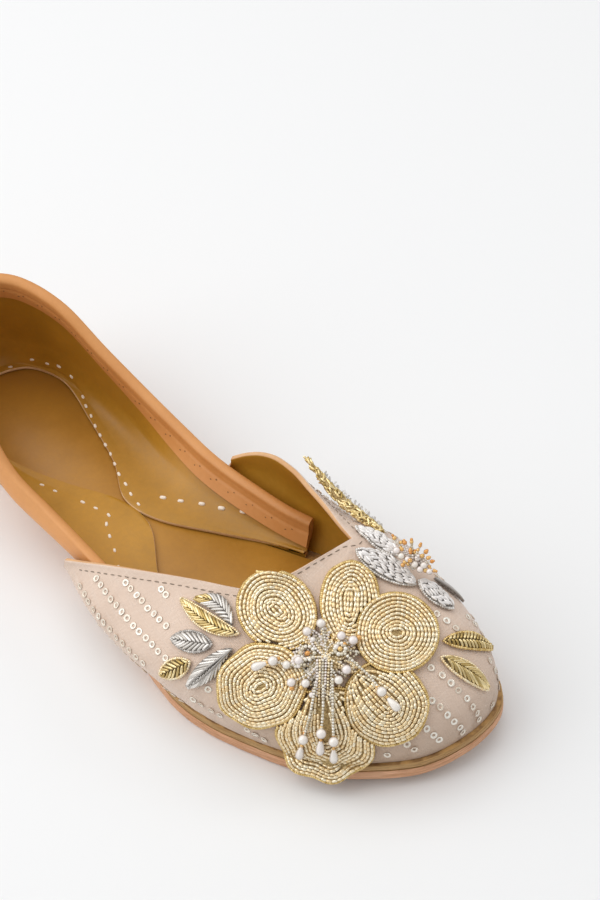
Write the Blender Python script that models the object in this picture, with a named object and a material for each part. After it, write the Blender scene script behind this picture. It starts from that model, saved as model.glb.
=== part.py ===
"""A mojari: a flat hand-made slipper of leather and silk, right foot, at its real size.

Sizes are in millimetres in the tables and become metres where a mesh is made. X runs across
the shoe, from the medial (-) to the lateral (+) side, Y along it to the toe, Z up.
Places around the sole's edge are numbered: 0 at the heel, along the lateral side to 18 at
the toe tip, and on along the medial side to 36, which is the heel again.
"""
import math
from types import SimpleNamespace

import bmesh
import bpy
import numpy as np
from mathutils import Vector
from mathutils.bvhtree import BVHTree

# Driving dimensions, in millimetres
GAP = 0.3                 # between pieces that touch
OUTSOLE_THICK = 4.6
MIDSOLE_THICK = 2.3
INSOLE_THICK = 1.5
FLANGE_THICK = 1.2        # the quarter's lining where it is turned in over the insole
QUARTER_WALL = 1.6
VAMP_WALL = 1.9
BINDING_WALL = 0.9
BINDING_OUTSIDE = 7.5     # how far the binding reaches down outside and inside
BINDING_INSIDE = 8.8
EDGE_ROUND = 0.7          # the outsole's worn lower edge
ARCH_LIFT = 1.8           # height of the waist over the floor
ARCH = (58.0, 140.0)      # where the arch starts and ends along the shoe
TOE_SPRING = 5.4
SPRING_START = 186.0
TOE_TIP = 240.6
FRAME_X, FRAME_Y = 2.3, 120.3   # the centre of the whole shoe's box, which is its origin
MM = 0.001

MIDSOLE_Z = OUTSOLE_THICK + GAP
UPPER_Z = MIDSOLE_Z + MIDSOLE_THICK + GAP
INSOLE_TOP = UPPER_Z + INSOLE_THICK
FLANGE_Z = INSOLE_TOP + GAP
FLANGE_TOP = FLANGE_Z + FLANGE_THICK


class Table:
    """Rows of numbers under named columns, read between the rows along a smooth curve."""

    def __init__(self, names, *rows):
        self.names = names.split()
        self.rows = np.array(rows, float)
        self.keys = self.rows[:, 0]
        steps = np.diff(self.keys)[:, None]
        slopes = np.diff(self.rows, axis=0) / steps
        inner = (slopes[:-1] * steps[1:] + slopes[1:] * steps[:-1]) / (steps[:-1] + steps[1:])
        self.slopes = np.vstack([slopes[:1], inner, slopes[-1:]])

    def close(self):
        """Make the first and last rows, which are the same place, share one slope."""
        self.slopes[0] = self.slopes[-1] = (self.slopes[0] + self.slopes[-1]) / 2
        return self

    def at(self, key):
        row = int(np.clip(np.searchsorted(self.keys, key) - 1, 0, len(self.keys) - 2))
        step = self.keys[row + 1] - self.keys[row]
        t = (key - self.keys[row]) / step
        start, end = self.rows[row], self.rows[row + 1]
        leave, arrive = self.slopes[row] * step, self.slopes[row + 1] * step
        value = ((2 * t ** 3 - 3 * t ** 2 + 1) * start + (t ** 3 - 2 * t ** 2 + t) * leave
                 + (3 * t ** 2 - 2 * t ** 3) * end + (t ** 3 - t ** 2) * arrive)
        return SimpleNamespace(**dict(zip(self.names, value)))


# The sole's outline, a row for each place around it
SOLE = Table(
    "place x y",
    (0, 0.5, 0.0), (1, 13.0, 3.8), (2, 20.5, 13.0), (3, 23.2, 30.0), (4, 23.6, 48.0),
    (5, 23.6, 66.0), (6, 25.2, 84.0), (7, 29.2, 100.0), (8, 34.5, 117.0), (9, 38.6, 133.5),
    (10, 42.4, 149.0), (11, 44.1, 161.0), (12, 43.0, 172.5), (13, 39.9, 184.5),
    (14, 35.4, 197.5), (15, 28.8, 212.0), (16, 18.6, 224.6), (17, 4.5, 236.3),
    (18, -12.5, TOE_TIP), (19, -26.8, 238.8), (20, -34.6, 232.4), (21, -39.2, 223.5),
    (22, -42.0, 212.0), (23, -43.3, 199.0), (24, -42.9, 185.0), (25, -41.0, 170.0),
    (26, -37.2, 154.0), (27, -31.0, 138.0), (28, -23.8, 121.0), (29, -20.0, 104.0),
    (30, -19.8, 87.0), (31, -22.2, 69.0), (32, -25.0, 50.0), (33, -24.8, 30.0),
    (34, -19.8, 12.5), (35, -12.0, 3.6), (36, 0.5, 0.0),
).close()

# The vamp, a row for each section from the lateral wing round the toe to the medial wing.
# x, y, z is the throat's edge, or the point of its V for every section of the toe; rise is
# the slope of the fabric there in degrees, and turn how far a section heads for that point
# instead of straight in; bulge and fullness shape the wall, and crown the top. inset is how
# far its foot stands in from the sole's edge.
THROAT = (-21.6, 175.3, 48.3)
VAMP = Table(
    "place x y z rise bulge fullness crown turn inset",
    (7.0, 39.6, 100.3, 21.5, 88, 13.0, 0.36, 0.22, 0.0, 1.2),
    (7.5, 37.9, 109.0, 26.5, 80, 19.0, 0.38, 0.24, 0.0, 1.2),
    (8.0, 35.5, 117.2, 30.5, 70, 22.5, 0.40, 0.26, 0.0, 1.2),
    (8.5, 32.6, 125.1, 33.5, 60, 24.5, 0.42, 0.28, 0.0, 1.2),
    (9.0, 29.4, 133.0, 36.0, 51, 24.5, 0.44, 0.30, 0.1, 1.2),
    (9.5, 25.7, 141.6, 38.5, 44, 23.0, 0.48, 0.32, 0.2, 1.2),
    (10.0, 22.0, 150.7, 41.0, 38, 20.0, 0.52, 0.33, 0.3, 1.2),
    (10.5, 18.3, 159.6, 43.0, 33, 17.0, 0.56, 0.34, 0.45, 1.2),
    (11.0, 14.8, 166.2, 44.6, 28, 14.5, 0.59, 0.35, 0.6, 1.2),
    (11.4, 11.9, 169.2, 45.4, 24, 12.8, 0.61, 0.36, 0.7, 1.2),
    (11.8, 5.5, 170.8, 46.5, 20, 11.4, 0.62, 0.37, 0.8, 1.2),
    (12.2, -2.0, 172.4, 47.3, 16, 10.2, 0.63, 0.38, 0.9, 1.2),
    (12.6, -9.0, 173.5, 47.8, 13, 9.1, 0.64, 0.39, 0.95, 1.2),
    (13.0, -14.6, 174.3, 48.1, 11, 8.1, 0.65, 0.40, 1.0, 1.2),
    (13.5, -19.4, 175.0, 48.3, 9, 6.9, 0.65, 0.41, 1.0, 1.3),
    (14.0, *THROAT, 8, 5.8, 0.65, 0.42, 1.0, 1.4),
    (16.0, *THROAT, 12, 3.2, 0.63, 0.44, 1.0, 1.8),
    (18.0, *THROAT, 15, 3.0, 0.61, 0.44, 1.0, 2.4),
    (20.0, *THROAT, 14, 3.0, 0.61, 0.42, 1.0, 2.2),
    (22.0, *THROAT, 10, 3.2, 0.63, 0.40, 1.0, 1.4),
    (24.0, *THROAT, 12, 5.0, 0.66, 0.36, 1.0, 1.2),
    (24.6, -23.9, 167.3, 46.8, 25, 6.0, 0.65, 0.35, 0.8, 1.2),
    (25.0, -26.5, 160.6, 45.0, 42, 7.0, 0.62, 0.34, 0.6, 1.2),
    (26.0, -31.3, 147.1, 40.8, 62, 10.0, 0.56, 0.30, 0.2, 1.2),
    (27.0, -35.5, 132.2, 36.8, 80, 13.0, 0.50, 0.28, 0.0, 1.2),
    (27.5, -36.3, 124.0, 34.5, 86, 14.5, 0.48, 0.26, 0.0, 1.2),
    (28.0, -35.2, 117.6, 32.2, 92, 15.5, 0.45, 0.24, 0.0, 1.2),
    (28.5, -33.1, 112.3, 29.2, 96, 15.5, 0.43, 0.22, 0.0, 1.2),
    (29.0, -30.7, 107.7, 25.5, 98, 14.0, 0.42, 0.20, 0.0, 1.2),
)

# The quarter, a row for each section from the medial end round the heel to the lateral end.
# top is its top edge, bulge and tuck shape the wall below it, inset is how far its foot
# stands in from the sole's edge, and edge is where the turned-in lining is cut.
QUARTER = Table(
    "place x y z bulge tuck inset edge_x edge_y",
    (26.6, -33.6, 144.0, 19.4, 1.0, 0.3, 5.0, -26.6, 143.5),
    (27.0, -31.4, 138.0, 20.3, 1.2, 0.3, 5.0, -23.0, 137.0),
    (28.0, -28.0, 121.0, 22.4, 2.0, 0.5, 4.4, -12.5, 121.5),
    (29.0, -26.0, 103.5, 24.2, 3.5, 0.8, 4.2, -0.5, 102.5),
    (30.0, -25.8, 86.5, 27.0, 3.5, 1.5, 3.2, 1.6, 87.0),
    (31.0, -24.9, 68.5, 32.4, 2.5, 2.0, 1.2, -7.6, 70.5),
    (32.0, -23.4, 49.5, 39.8, 2.0, 3.0, 1.2, -14.5, 50.0),
    (33.0, -21.2, 31.0, 49.4, 2.0, 4.0, 1.2, -20.0, 30.0),
    (34.0, -16.6, 15.5, 53.6, 2.2, 4.0, 1.2, -16.8, 16.5),
    (35.0, -9.2, 6.8, 55.0, 2.2, 4.2, 1.2, -9.5, 10.8),
    (36.0, 0.9, 4.0, 55.4, 2.2, 4.4, 1.2, 0.5, 9.0),
    (37.0, 11.0, 6.8, 55.0, 2.2, 4.2, 1.2, 10.5, 10.8),
    (38.0, 19.0, 15.5, 53.4, 2.6, 4.2, 1.2, 17.2, 16.5),
    (39.0, 25.2, 31.0, 48.0, 4.5, 4.0, 1.2, 20.0, 30.0),
    (40.0, 29.6, 48.0, 38.0, 8.0, 3.4, 1.2, 17.2, 49.0),
    (41.0, 32.2, 64.0, 30.2, 11.0, 2.8, 1.2, 10.6, 68.0),
    (42.0, 31.8, 82.0, 25.4, 11.5, 2.2, 3.0, 3.4, 86.0),
    (43.0, 32.8, 99.0, 24.0, 8.0, 1.6, 4.0, 3.6, 102.0),
    (44.0, 34.4, 116.0, 23.8, 5.0, 1.0, 4.2, 14.0, 117.5),
    (45.0, 35.6, 131.5, 22.6, 2.5, 0.8, 4.2, 25.0, 132.5),
    (45.6, 36.6, 141.0, 21.0, 2.0, 0.8, 4.2, 31.0, 141.5),
)
VAMP_ENDS = (7.0, 29.0)
VAMP_POINT = (14.0, 24.0)      # the sections that all end at the point of the V
QUARTER_ENDS = (26.6, 45.6)

# The embroidery is laid out on two planes, each with a centre on the vamp and the way it
# faces. u and v are places across a plane, to its right and up it, in millimetres.
FLOWER_PLANE = ((12.4, 197.4, 37.4), (0.4585, 0.4765, 0.7501))
TOP_PLANE = ((-28.0, 192.0, 43.0), (-0.25, 0.35, 0.9))
MOTIF_LIFT = 0.5               # clear of the fabric, measured the way that the plane faces
PETAL_THICK = 2.4
LEAF_THICK = 1.9
MOTIF_GAP = 0.6                # between neighbours
RAY_START = 60.0               # how far over a plane the search for the fabric starts
RAY_REACH = 15.0               # how far behind the plane the nearest fabric is looked for
PAD_EDGE = ((1.0, 0.0), (1.0, 0.5), (0.93, 0.9))    # a pad's rim: share of reach and height
PAD_TOP = 1.1
PAD_MIDDLE = 1.15
LEAF_SHARPNESS = 1.5           # higher is a more pointed leaf
CENTRE_THICK = 1.5             # the flower's middle, in petal thicknesses
GOLD = (0.72, 0.53, 0.25)
SILVER = (0.62, 0.60, 0.58)
PEARL = (0.85, 0.80, 0.74)

# Round petals, the uppermost first: each one is cut back where an earlier one covers it.
# heading is which way a petal points, in degrees; out and back are its reach that way and
# towards the flower's centre, wide its half width, and ruffle the waves of its edge. lift is
# for a petal that needs more room where the vamp's side is steep.
PETALS = (
    dict(name="flower_centre", u=0, v=0, heading=0, out=5.2, back=5.2, wide=5.2, ruffle=0),
    dict(name="gold_petal_3", u=22.3, v=7.2, heading=-4, out=13.7, back=12.6, wide=12.2,
         ruffle=0),
    dict(name="gold_petal_6", u=-20.0, v=-9.6, heading=210, out=14.8, back=14, wide=13.2,
         ruffle=0.02, lift=1.0),
    dict(name="gold_petal_4", u=19.6, v=-15.4, heading=-45, out=12.6, back=14.5, wide=12.7,
         ruffle=0.01),
    dict(name="gold_petal_1", u=-15.6, v=14.3, heading=138, out=13.0, back=13.5, wide=11.6,
         ruffle=0),
    dict(name="gold_petal_2", u=7.9, v=17.9, heading=86, out=11.4, back=14.5, wide=9.2,
         ruffle=0.01),
    dict(name="gold_petal_5", u=0.6, v=-25.8, heading=-82, out=14.6, back=16, wide=15.4,
         ruffle=0.05, lift=1.2),
)

# Leaves and long petals, from tip to stem; bend is how far the middle stands to the left
LEAVES = (
    dict(name="side_leaf_1", plane="flower", tip=(-46.5, 17.3), stem=(-27.6, 6.8), wide=2.5,
         bend=-1.8, colour=GOLD),
    dict(name="side_leaf_2", plane="flower", tip=(-42.2, 17.5), stem=(-29.6, 9.3), wide=2.9,
         bend=3.0, colour=SILVER),
    dict(name="side_leaf_3", plane="flower", tip=(-49.3, 4.6), stem=(-36.2, 3.3), wide=3.1,
         bend=0, colour=SILVER),
    dict(name="side_leaf_4", plane="flower", tip=(-53.2, -7.4), stem=(-43.3, -2.4), wide=2.9,
         bend=0, colour=GOLD),
    dict(name="side_leaf_5", plane="flower", tip=(-44.3, -10.9), stem=(-29.5, 2.2), wide=3.5,
         bend=0, colour=SILVER),
    dict(name="silver_petal_1", plane="top", tip=(10.1, 17.4), stem=(2.0, 3.7), wide=2.9,
         bend=0, colour=SILVER),
    dict(name="silver_petal_2", plane="top", tip=(-0.2, 16.1), stem=(-6.5, -4.4), wide=3.9,
         bend=0, colour=SILVER),
    dict(name="silver_petal_3", plane="top", tip=(-9.8, -18.5), stem=(-4.6, -5.4), wide=3.1,
         bend=0, colour=SILVER),
    dict(name="grey_leaf", plane="top", tip=(-1.7, -23.6), stem=(-0.9, -10.4), wide=0.9,
         bend=0, colour=SILVER),
    dict(name="toe_leaf_1", plane="top", tip=(-13.9, -36.6), stem=(-22.7, -17.9), wide=2.8,
         bend=0, colour=GOLD),
    dict(name="toe_leaf_2", plane="top", tip=(-29.6, -37.8), stem=(-28.2, -18.6), wide=2.7,
         bend=0, colour=GOLD),
)

# Strings of small beads over the big flower, each ending in a round pearl and a drop
STRINGS = (
    dict(start=(6.2, 1.0), middle=(13.6, -5.6), pearl=(17.5, -10.4), drop=(20.9, -14.0)),
    dict(start=(-3.3, -9.5), middle=(-4.8, -17.5), pearl=(-7.0, -26.0), drop=(-7.9, -30.4)),
    dict(start=(-0.7, -8.9), middle=(-0.8, -16.0), pearl=(-1.4, -23.8), drop=(-1.6, -28.2)),
    dict(start=(2.2, -6.8), middle=(2.2, -16.0), pearl=(2.5, -26.4), drop=(2.6, -31.0)),
    dict(start=(-6.6, -2.4), middle=(-12.1, -2.4), pearl=(-16.6, -1.2), drop=(-20.6, -2.6)),
)
STRING_LIFT = 3.4              # the petals' top, the way that the plane faces
STRING_RADIUS = 0.6
STRING_SLOPE = 0.75            # how far the flower's plane faces up
PEARL_RADIUS = 1.7
DROP_RADIUS = 1.4
# The string's radius before and after the middle of each pearl, as shares of the pearl's
PEARL_SHAPE = ((-0.6, 0.8), (0.0, 1.0), (0.7, 0.7))
PEARL_NECK = 1.1               # where the pearl meets the thin string, in pearl radii
DROP_SHAPE = ((-0.4, 0.8), (0.6, 1.0), (1.5, 0.4))

# A free spike of coiled wire along the medial wing: its path, and its radius there
SPIKE = (((-31.4, 178.6, 46.0), 0.9), ((-31.6, 170.0, 45.4), 1.6), ((-31.8, 161.2, 45.0), 1.8),
         ((-33.0, 150.0, 46.2), 1.4), ((-34.5, 139.5, 48.4), 0.3))
# The tuft of bead stalks at the small flower, from its foot upwards
STAMENS = (((-28.0, 196.0, 45.6), 0.8), ((-28.4, 196.2, 47.2), 1.8), ((-29.4, 196.4, 50.4), 3.6),
           ((-30.4, 196.6, 53.0), 4.6), ((-30.8, 196.8, 54.4), 3.2))
STALK_RIBS = 6
RIB_DEPTH = 0.16               # of the tuft's radius

# How far the insole's edge lies in from the sole's
INSOLE = Table(
    "place inset",
    (0, 3.4), (4, 3.4), (6, 5.3), (7, 6.3), (8, 6.6), (10, 6.6), (11, 5.2), (16, 5.0),
    (18, 5.8), (20, 5.6), (24, 4.8), (25.5, 6.4), (26.5, 7.5), (27.5, 7.4), (29, 6.6),
    (30, 5.4), (32, 3.4), (36, 3.4),
)


def lift(y):
    """How far the sole's underside is over the floor: flat at heel and ball, an arch, a spring."""
    if ARCH[0] < y < ARCH[1]:
        return ARCH_LIFT * math.sin(math.pi * (y - ARCH[0]) / (ARCH[1] - ARCH[0])) ** 2
    if y > SPRING_START:
        return TOE_SPRING * ((y - SPRING_START) / (TOE_TIP - SPRING_START)) ** 2
    return 0.0


def sole_edge(place, inset=0.0):
    """A plan point on the sole's outline, or the given distance inside it."""
    here = SOLE.at(place % 36)
    before, after = SOLE.at((place - 0.02) % 36), SOLE.at((place + 0.02) % 36)
    along = np.array([after.x - before.x, after.y - before.y])
    inward = np.array([-along[1], along[0]]) / np.linalg.norm(along)
    return np.array([here.x, here.y]) + inward * inset, inward


def edge_point(place, inset, height):
    """A point over the sole's outline, at a height over the lifted underside."""
    (x, y), _ = sole_edge(place, inset)
    return np.array([x, y, height + lift(y)])


def bezier(points, count=25):
    """Points along a cubic curve between the first and the last of four."""
    t = np.linspace(0, 1, count)[:, None]
    a, b, c, d = points
    return (1 - t) ** 3 * a + 3 * (1 - t) ** 2 * t * b + 3 * (1 - t) * t ** 2 * c + t ** 3 * d


def resample(curve, lengths):
    """Points of a curve at the given lengths along it."""
    run = np.concatenate([[0], np.cumsum(np.linalg.norm(np.diff(curve, axis=0), axis=1))])
    return np.array([[np.interp(s, run, curve[:, k]) for k in range(3)] for s in lengths])


def curve_length(curve):
    return np.linalg.norm(np.diff(curve, axis=0), axis=1).sum()


def sheet_normals(grid):
    """Outward normals of a sheet of points, whose columns run around the shoe."""
    around = np.gradient(grid, axis=0)
    upward = np.gradient(grid, axis=1)
    normals = np.cross(around, upward)
    return normals / np.maximum(np.linalg.norm(normals, axis=2, keepdims=True), 1e-9)


def make_object(name, bm, colour, roughness, metallic=0.0, smooth_angle=50):
    """Close up a mesh, move it to the shoe's own origin, and give it its material."""
    bmesh.ops.remove_doubles(bm, verts=bm.verts, dist=0.002)
    bmesh.ops.dissolve_degenerate(bm, edges=bm.edges, dist=0.001)
    bmesh.ops.recalc_face_normals(bm, faces=bm.faces)
    bmesh.ops.triangulate(bm, faces=bm.faces)
    for vert in bm.verts:
        vert.co = (vert.co - Vector((FRAME_X, FRAME_Y, 0))) * MM
    mesh = bpy.data.meshes.new(name)
    bm.to_mesh(mesh)
    bm.free()
    mesh.shade_smooth()
    mesh.set_sharp_from_angle(angle=math.radians(smooth_angle))
    material = bpy.data.materials.new(name)
    material.use_nodes = True
    shader = material.node_tree.nodes["Principled BSDF"]
    shader.inputs["Base Color"].default_value = (*colour, 1)
    shader.inputs["Roughness"].default_value = roughness
    shader.inputs["Metallic"].default_value = metallic
    mesh.materials.append(material)
    obj = bpy.data.objects.new(name, mesh)
    bpy.context.scene.collection.objects.link(obj)
    return obj


def loft(loops, closed=False):
    """A solid through closed loops of points, its two ends filled unless it runs in a ring."""
    bm = bmesh.new()
    rings = [[bm.verts.new(p) for p in loop] for loop in loops]
    pairs = list(zip(rings, rings[1:])) + ([(rings[-1], rings[0])] if closed else [])
    for here, there in pairs:
        for k in range(len(here)):
            n = (k + 1) % len(here)
            bm.faces.new((here[k], here[n], there[n], there[k]))
    if not closed:
        for ring in (rings[0], rings[-1]):
            half = len(ring) // 2
            for k in range(half - 1):
                bm.faces.new((ring[k], ring[k + 1], ring[-2 - k], ring[-1 - k]))
    return bm


def plate(insets_and_heights, steps=2):
    """A flat layer of the sole: rings of its outline, joined across by rungs top and bottom."""
    bm = bmesh.new()
    count = 36 * steps
    rings = []
    for inset, height in insets_and_heights:
        ring = []
        for k in range(count):
            place = k / steps
            depth = inset(place) if callable(inset) else inset
            ring.append(bm.verts.new(edge_point(place, depth, height)))
        rings.append(ring)
    for low, high in zip(rings, rings[1:]):
        for k in range(count):
            n = (k + 1) % count
            bm.faces.new((low[k], low[n], high[n], high[k]))
    for ring in (rings[0], rings[-1]):
        for k in range(count // 2):
            here, there = k, (k + 1) % count
            quad = [ring[here], ring[there], ring[(count - there) % count],
                    ring[(count - here) % count]]
            corners = list(dict.fromkeys(quad))
            if len(corners) > 2:
                bm.faces.new(corners)
    return bm


def build_outsole():
    rings = [(EDGE_ROUND, 0.0), (0.15, EDGE_ROUND), (0.0, OUTSOLE_THICK - 0.4),
             (0.3, OUTSOLE_THICK)]
    return make_object("outsole", plate(rings), (0.72, 0.42, 0.24), 0.6)


def build_midsole():
    rings = [(0.5, MIDSOLE_Z), (0.3, MIDSOLE_Z + 0.4),
             (0.3, MIDSOLE_Z + MIDSOLE_THICK - 0.4), (0.6, MIDSOLE_Z + MIDSOLE_THICK)]
    return make_object("midsole", plate(rings), (0.45, 0.27, 0.09), 0.55)


def build_insole():
    def inset(place):
        return INSOLE.at(place).inset

    rings = [(inset, UPPER_Z), (inset, INSOLE_TOP)]
    return make_object("insole", plate(rings), (0.44, 0.26, 0.09), 0.45)


def vamp_section(place):
    """The vamp's outer curve from the sole's edge to the throat."""
    row = VAMP.at(place)
    if VAMP_POINT[0] <= place <= VAMP_POINT[1]:
        row.x, row.y, row.z = THROAT
    foot = edge_point(place, row.inset, UPPER_Z)
    top = np.array([row.x, row.y, row.z])
    _, inward = sole_edge(place)
    outward = np.array([-inward[0], -inward[1], 0])
    reach = top[:2] - foot[:2]
    span = np.linalg.norm(top - foot)
    toward = inward * (1 - row.turn) + reach / np.linalg.norm(reach) * row.turn
    toward = np.array([*(toward / np.linalg.norm(toward)), 0])
    rise = math.radians(row.rise)
    tangent = toward * math.cos(rise) + np.array([0, 0, math.sin(rise)])
    height = row.z - foot[2]
    wall = foot + outward * row.bulge + np.array([0, 0, row.fullness * height])
    crown = top - tangent * row.crown * span
    return bezier((foot, wall, crown, top))


def vamp_sheets(columns=45, rows=11):
    """The vamp's outer and inner sheets of points."""
    places = np.linspace(*VAMP_ENDS, columns)
    outer = []
    for place in places:
        curve = vamp_section(place)
        outer.append(resample(curve, np.linspace(0, 1, rows) * curve_length(curve)))
    outer = np.array(outer)
    normals = sheet_normals(outer)
    point = (places >= VAMP_POINT[0] - 1e-6) & (places <= VAMP_POINT[1] + 1e-6)
    shared = normals[point][:, -2].mean(axis=0)
    normals[point, -1] = shared / np.linalg.norm(shared)
    inner = outer - normals * VAMP_WALL
    for column, place in enumerate(places):
        inner[column, 0] = edge_point(place, VAMP.at(place).inset + VAMP_WALL, UPPER_Z)
    return outer, inner


def build_vamp():
    outer, inner = vamp_sheets()
    loops = [list(up) + list(down[::-1]) for up, down in zip(outer, inner)]
    return make_object("vamp", loft(loops), (0.68, 0.53, 0.44), 0.6, smooth_angle=70)


WALL_DEPTHS = (0.0, 1.2, 4.5, BINDING_OUTSIDE, BINDING_INSIDE)


def quarter_sheets(steps=2):
    """The quarter's outer and inner sheets, each column read from its top edge down."""
    count = int(round((QUARTER_ENDS[1] - QUARTER_ENDS[0]) * steps)) + 1
    places = np.linspace(*QUARTER_ENDS, count)
    outer = []
    for place in places:
        row = QUARTER.at(place)
        foot = edge_point(place, row.inset, UPPER_Z)
        top = np.array([row.x, row.y, row.z])
        _, inward = sole_edge(place)
        outward = np.array([-inward[0], -inward[1], 0])
        height = row.z - foot[2]
        wall = foot + outward * row.bulge + np.array([0, 0, 0.3 * height])
        tuck = top + outward * row.tuck - np.array([0, 0, 0.4 * height])
        curve = bezier((top, tuck, wall, foot))
        length = curve_length(curve)
        rest = np.linspace(BINDING_INSIDE, length, 5)[1:]
        outer.append(resample(curve, list(WALL_DEPTHS) + list(rest)))
    outer = np.array(outer)
    normals = sheet_normals(outer[:, ::-1])[:, ::-1]
    inner = outer - normals * QUARTER_WALL
    return places, outer, inner, normals


def build_quarter():
    """The leather wall round the heel, its lining turned in over the insole below."""
    places, outer, inner, _ = quarter_sheets()
    loops = []
    for place, out, inn in zip(places, outer, inner):
        row = QUARTER.at(place)
        rise = lift(edge_point(place, 0, 0)[1])
        foot_in = edge_point(place, row.inset + QUARTER_WALL, UPPER_Z)
        under = edge_point(place, row.inset + QUARTER_WALL, FLANGE_Z)
        cut = np.array([row.edge_x, row.edge_y, 0])
        corner = edge_point(place, row.inset + QUARTER_WALL + 1.2, 0)
        corner = corner + (cut - corner) * 0.1
        loop = list(out[::-1]) + list(inn[:-2])
        knee = inn[-2] * 0.45 + corner * 0.55
        knee[2] = FLANGE_TOP + rise + 0.9
        corner[2] = FLANGE_TOP + rise
        middle = (corner + cut) / 2
        for point in (middle, cut):
            point[2] = FLANGE_TOP + lift(point[1])
        cut_low = cut.copy()
        middle_low = middle.copy()
        cut_low[2] = FLANGE_Z + lift(cut[1])
        middle_low[2] = FLANGE_Z + lift(middle[1])
        loop += [knee, corner, middle, cut, cut_low, middle_low, under, foot_in]
        loops.append(loop)
    bm = bmesh.new()
    rings = [[bm.verts.new(p) for p in loop] for loop in loops]
    for here, there in zip(rings, rings[1:]):
        for k in range(len(here)):
            n = (k + 1) % len(here)
            bm.faces.new((here[k], here[n], there[n], there[k]))
    bm.faces.new(rings[0])
    bm.faces.new(rings[-1])
    return make_object("quarter", bm, (0.70, 0.38, 0.16), 0.5, smooth_angle=60)


def build_binding():
    """The leather strip folded over the quarter's top edge."""
    _, outer, inner, normals = quarter_sheets()
    near, far = GAP, GAP + BINDING_WALL
    upward = np.array([0, 0, 1.0])
    loops = []
    for out, inn, nor in zip(outer, inner, normals):
        outside = [out[k] + nor[k] * far for k in (3, 2, 1)]
        over = [out[0] + nor[0] * far * 0.9 + upward * 0.3, (out[0] + inn[0]) / 2 + upward * far,
                inn[0] - nor[0] * far * 0.9 + upward * 0.3]
        inside = [inn[k] - nor[k] * far for k in (1, 2, 3, 4)]
        back = [inn[k] - nor[k] * near for k in (4, 3, 2, 1)]
        under = [inn[0] - nor[0] * near + upward * 0.1, (out[0] + inn[0]) / 2 + upward * near,
                 out[0] + nor[0] * near + upward * 0.1]
        front = [out[k] + nor[k] * near for k in (1, 2, 3)]
        loops.append(outside + over + inside + back + under + front)
    return make_object("collar_binding", loft(loops), (0.78, 0.46, 0.26), 0.5, smooth_angle=60)


class Ground:
    """The vamp's outside, carried on past its edges, seen square to one of the planes."""

    SKIRT = ((-3.2, 1.0), (-1.6, 4.5), (-0.8, 7.5))    # outside the sole's edge, and height
    OVERHANG = 8.0                                     # past the throat, for the petal there

    def __init__(self, centre, facing):
        self.centre = Vector(centre)
        self.facing = Vector(facing).normalized()
        self.right = Vector((-self.facing.y, self.facing.x, 0)).normalized()
        self.up = self.facing.cross(self.right)
        outer, _ = vamp_sheets()
        places = np.linspace(*VAMP_ENDS, len(outer))
        points = []
        for place, column in zip(places, outer):
            skirt = [edge_point(place, inset, height) for inset, height in self.SKIRT]
            tangent = column[-1] - column[-2]
            tangent = tangent / np.linalg.norm(tangent)
            reach = self.OVERHANG * np.clip((VAMP_POINT[0] - place) / 1.4, 0, 1)
            points.append([*skirt, *column, column[-1] + tangent * reach])
        rows = len(points[0])
        faces = []
        for c in range(len(points) - 1):
            for r in range(rows - 1):
                first = c * rows + r
                faces.append((first, first + rows, first + rows + 1, first + 1))
        self.tree = BVHTree.FromPolygons([Vector(p) for column in points for p in column], faces)

    def at(self, u, v, lift):
        """The point over a place of the plane, lifted off the surface."""
        start = self.centre + self.right * u + self.up * v + self.facing * RAY_START
        hit = self.tree.ray_cast(start, -self.facing)[0]
        if hit is None:
            hit = self.tree.find_nearest(start - self.facing * (RAY_START + RAY_REACH))[0]
        return hit + self.facing * lift


def petal_point(row, angle):
    """A point of a petal's own outline, across its plane."""
    heading = math.radians(row["heading"])
    reach = row["out"] if math.cos(angle) > 0 else row["back"]
    wave = 1 + row["ruffle"] * math.cos(7 * angle)
    along, across = math.cos(angle) * reach * wave, math.sin(angle) * row["wide"] * wave
    return (along * math.cos(heading) - across * math.sin(heading),
            along * math.sin(heading) + across * math.cos(heading))


def covers(row, u, v):
    """Whether a petal, grown by the gap between neighbours, covers a place of the plane."""
    heading = math.radians(row["heading"])
    du, dv = u - row["u"], v - row["v"]
    along = du * math.cos(heading) + dv * math.sin(heading)
    across = -du * math.sin(heading) + dv * math.cos(heading)
    reach = row["out"] if along > 0 else row["back"]
    grown = 1 + row["ruffle"]
    return math.hypot(along / (reach * grown + MOTIF_GAP),
                      across / (row["wide"] * grown + MOTIF_GAP)) < 1


def trimmed(centre, offset, over, steps=60):
    """How much of the way from a centre to its outline no earlier petal covers."""
    for step in range(1, steps + 1):
        share = step / steps
        u, v = centre[0] + offset[0] * share, centre[1] + offset[1] * share
        if any(covers(row, u, v) for row in over):
            return (step - 1) / steps
    return 1.0


def patch(name, ground, centre, outline, thick, colour, inner=(0.5,), lift=MOTIF_LIFT):
    """A motif as a low pad: rings of its outline on the ground, with a rounded upper edge."""
    bm = bmesh.new()
    layers = [(share, 0.0) for share in inner] + list(PAD_EDGE)
    layers += [(share, PAD_TOP) for share in reversed(inner)]
    rings = []
    for share, height in layers:
        ring = [ground.at(centre[0] + du * share, centre[1] + dv * share,
                          lift + height * thick) for du, dv in outline]
        rings.append([bm.verts.new(point) for point in ring])
    low = bm.verts.new(ground.at(*centre, lift))
    high = bm.verts.new(ground.at(*centre, lift + PAD_MIDDLE * thick))
    count = len(outline)
    for here, there in zip(rings, rings[1:]):
        for k in range(count):
            n = (k + 1) % count
            bm.faces.new((here[k], here[n], there[n], there[k]))
    for k in range(count):
        n = (k + 1) % count
        bm.faces.new((low, rings[0][n], rings[0][k]))
        bm.faces.new((high, rings[-1][k], rings[-1][n]))
    return make_object(name, bm, colour, 0.35, metallic=0.8)


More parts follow.
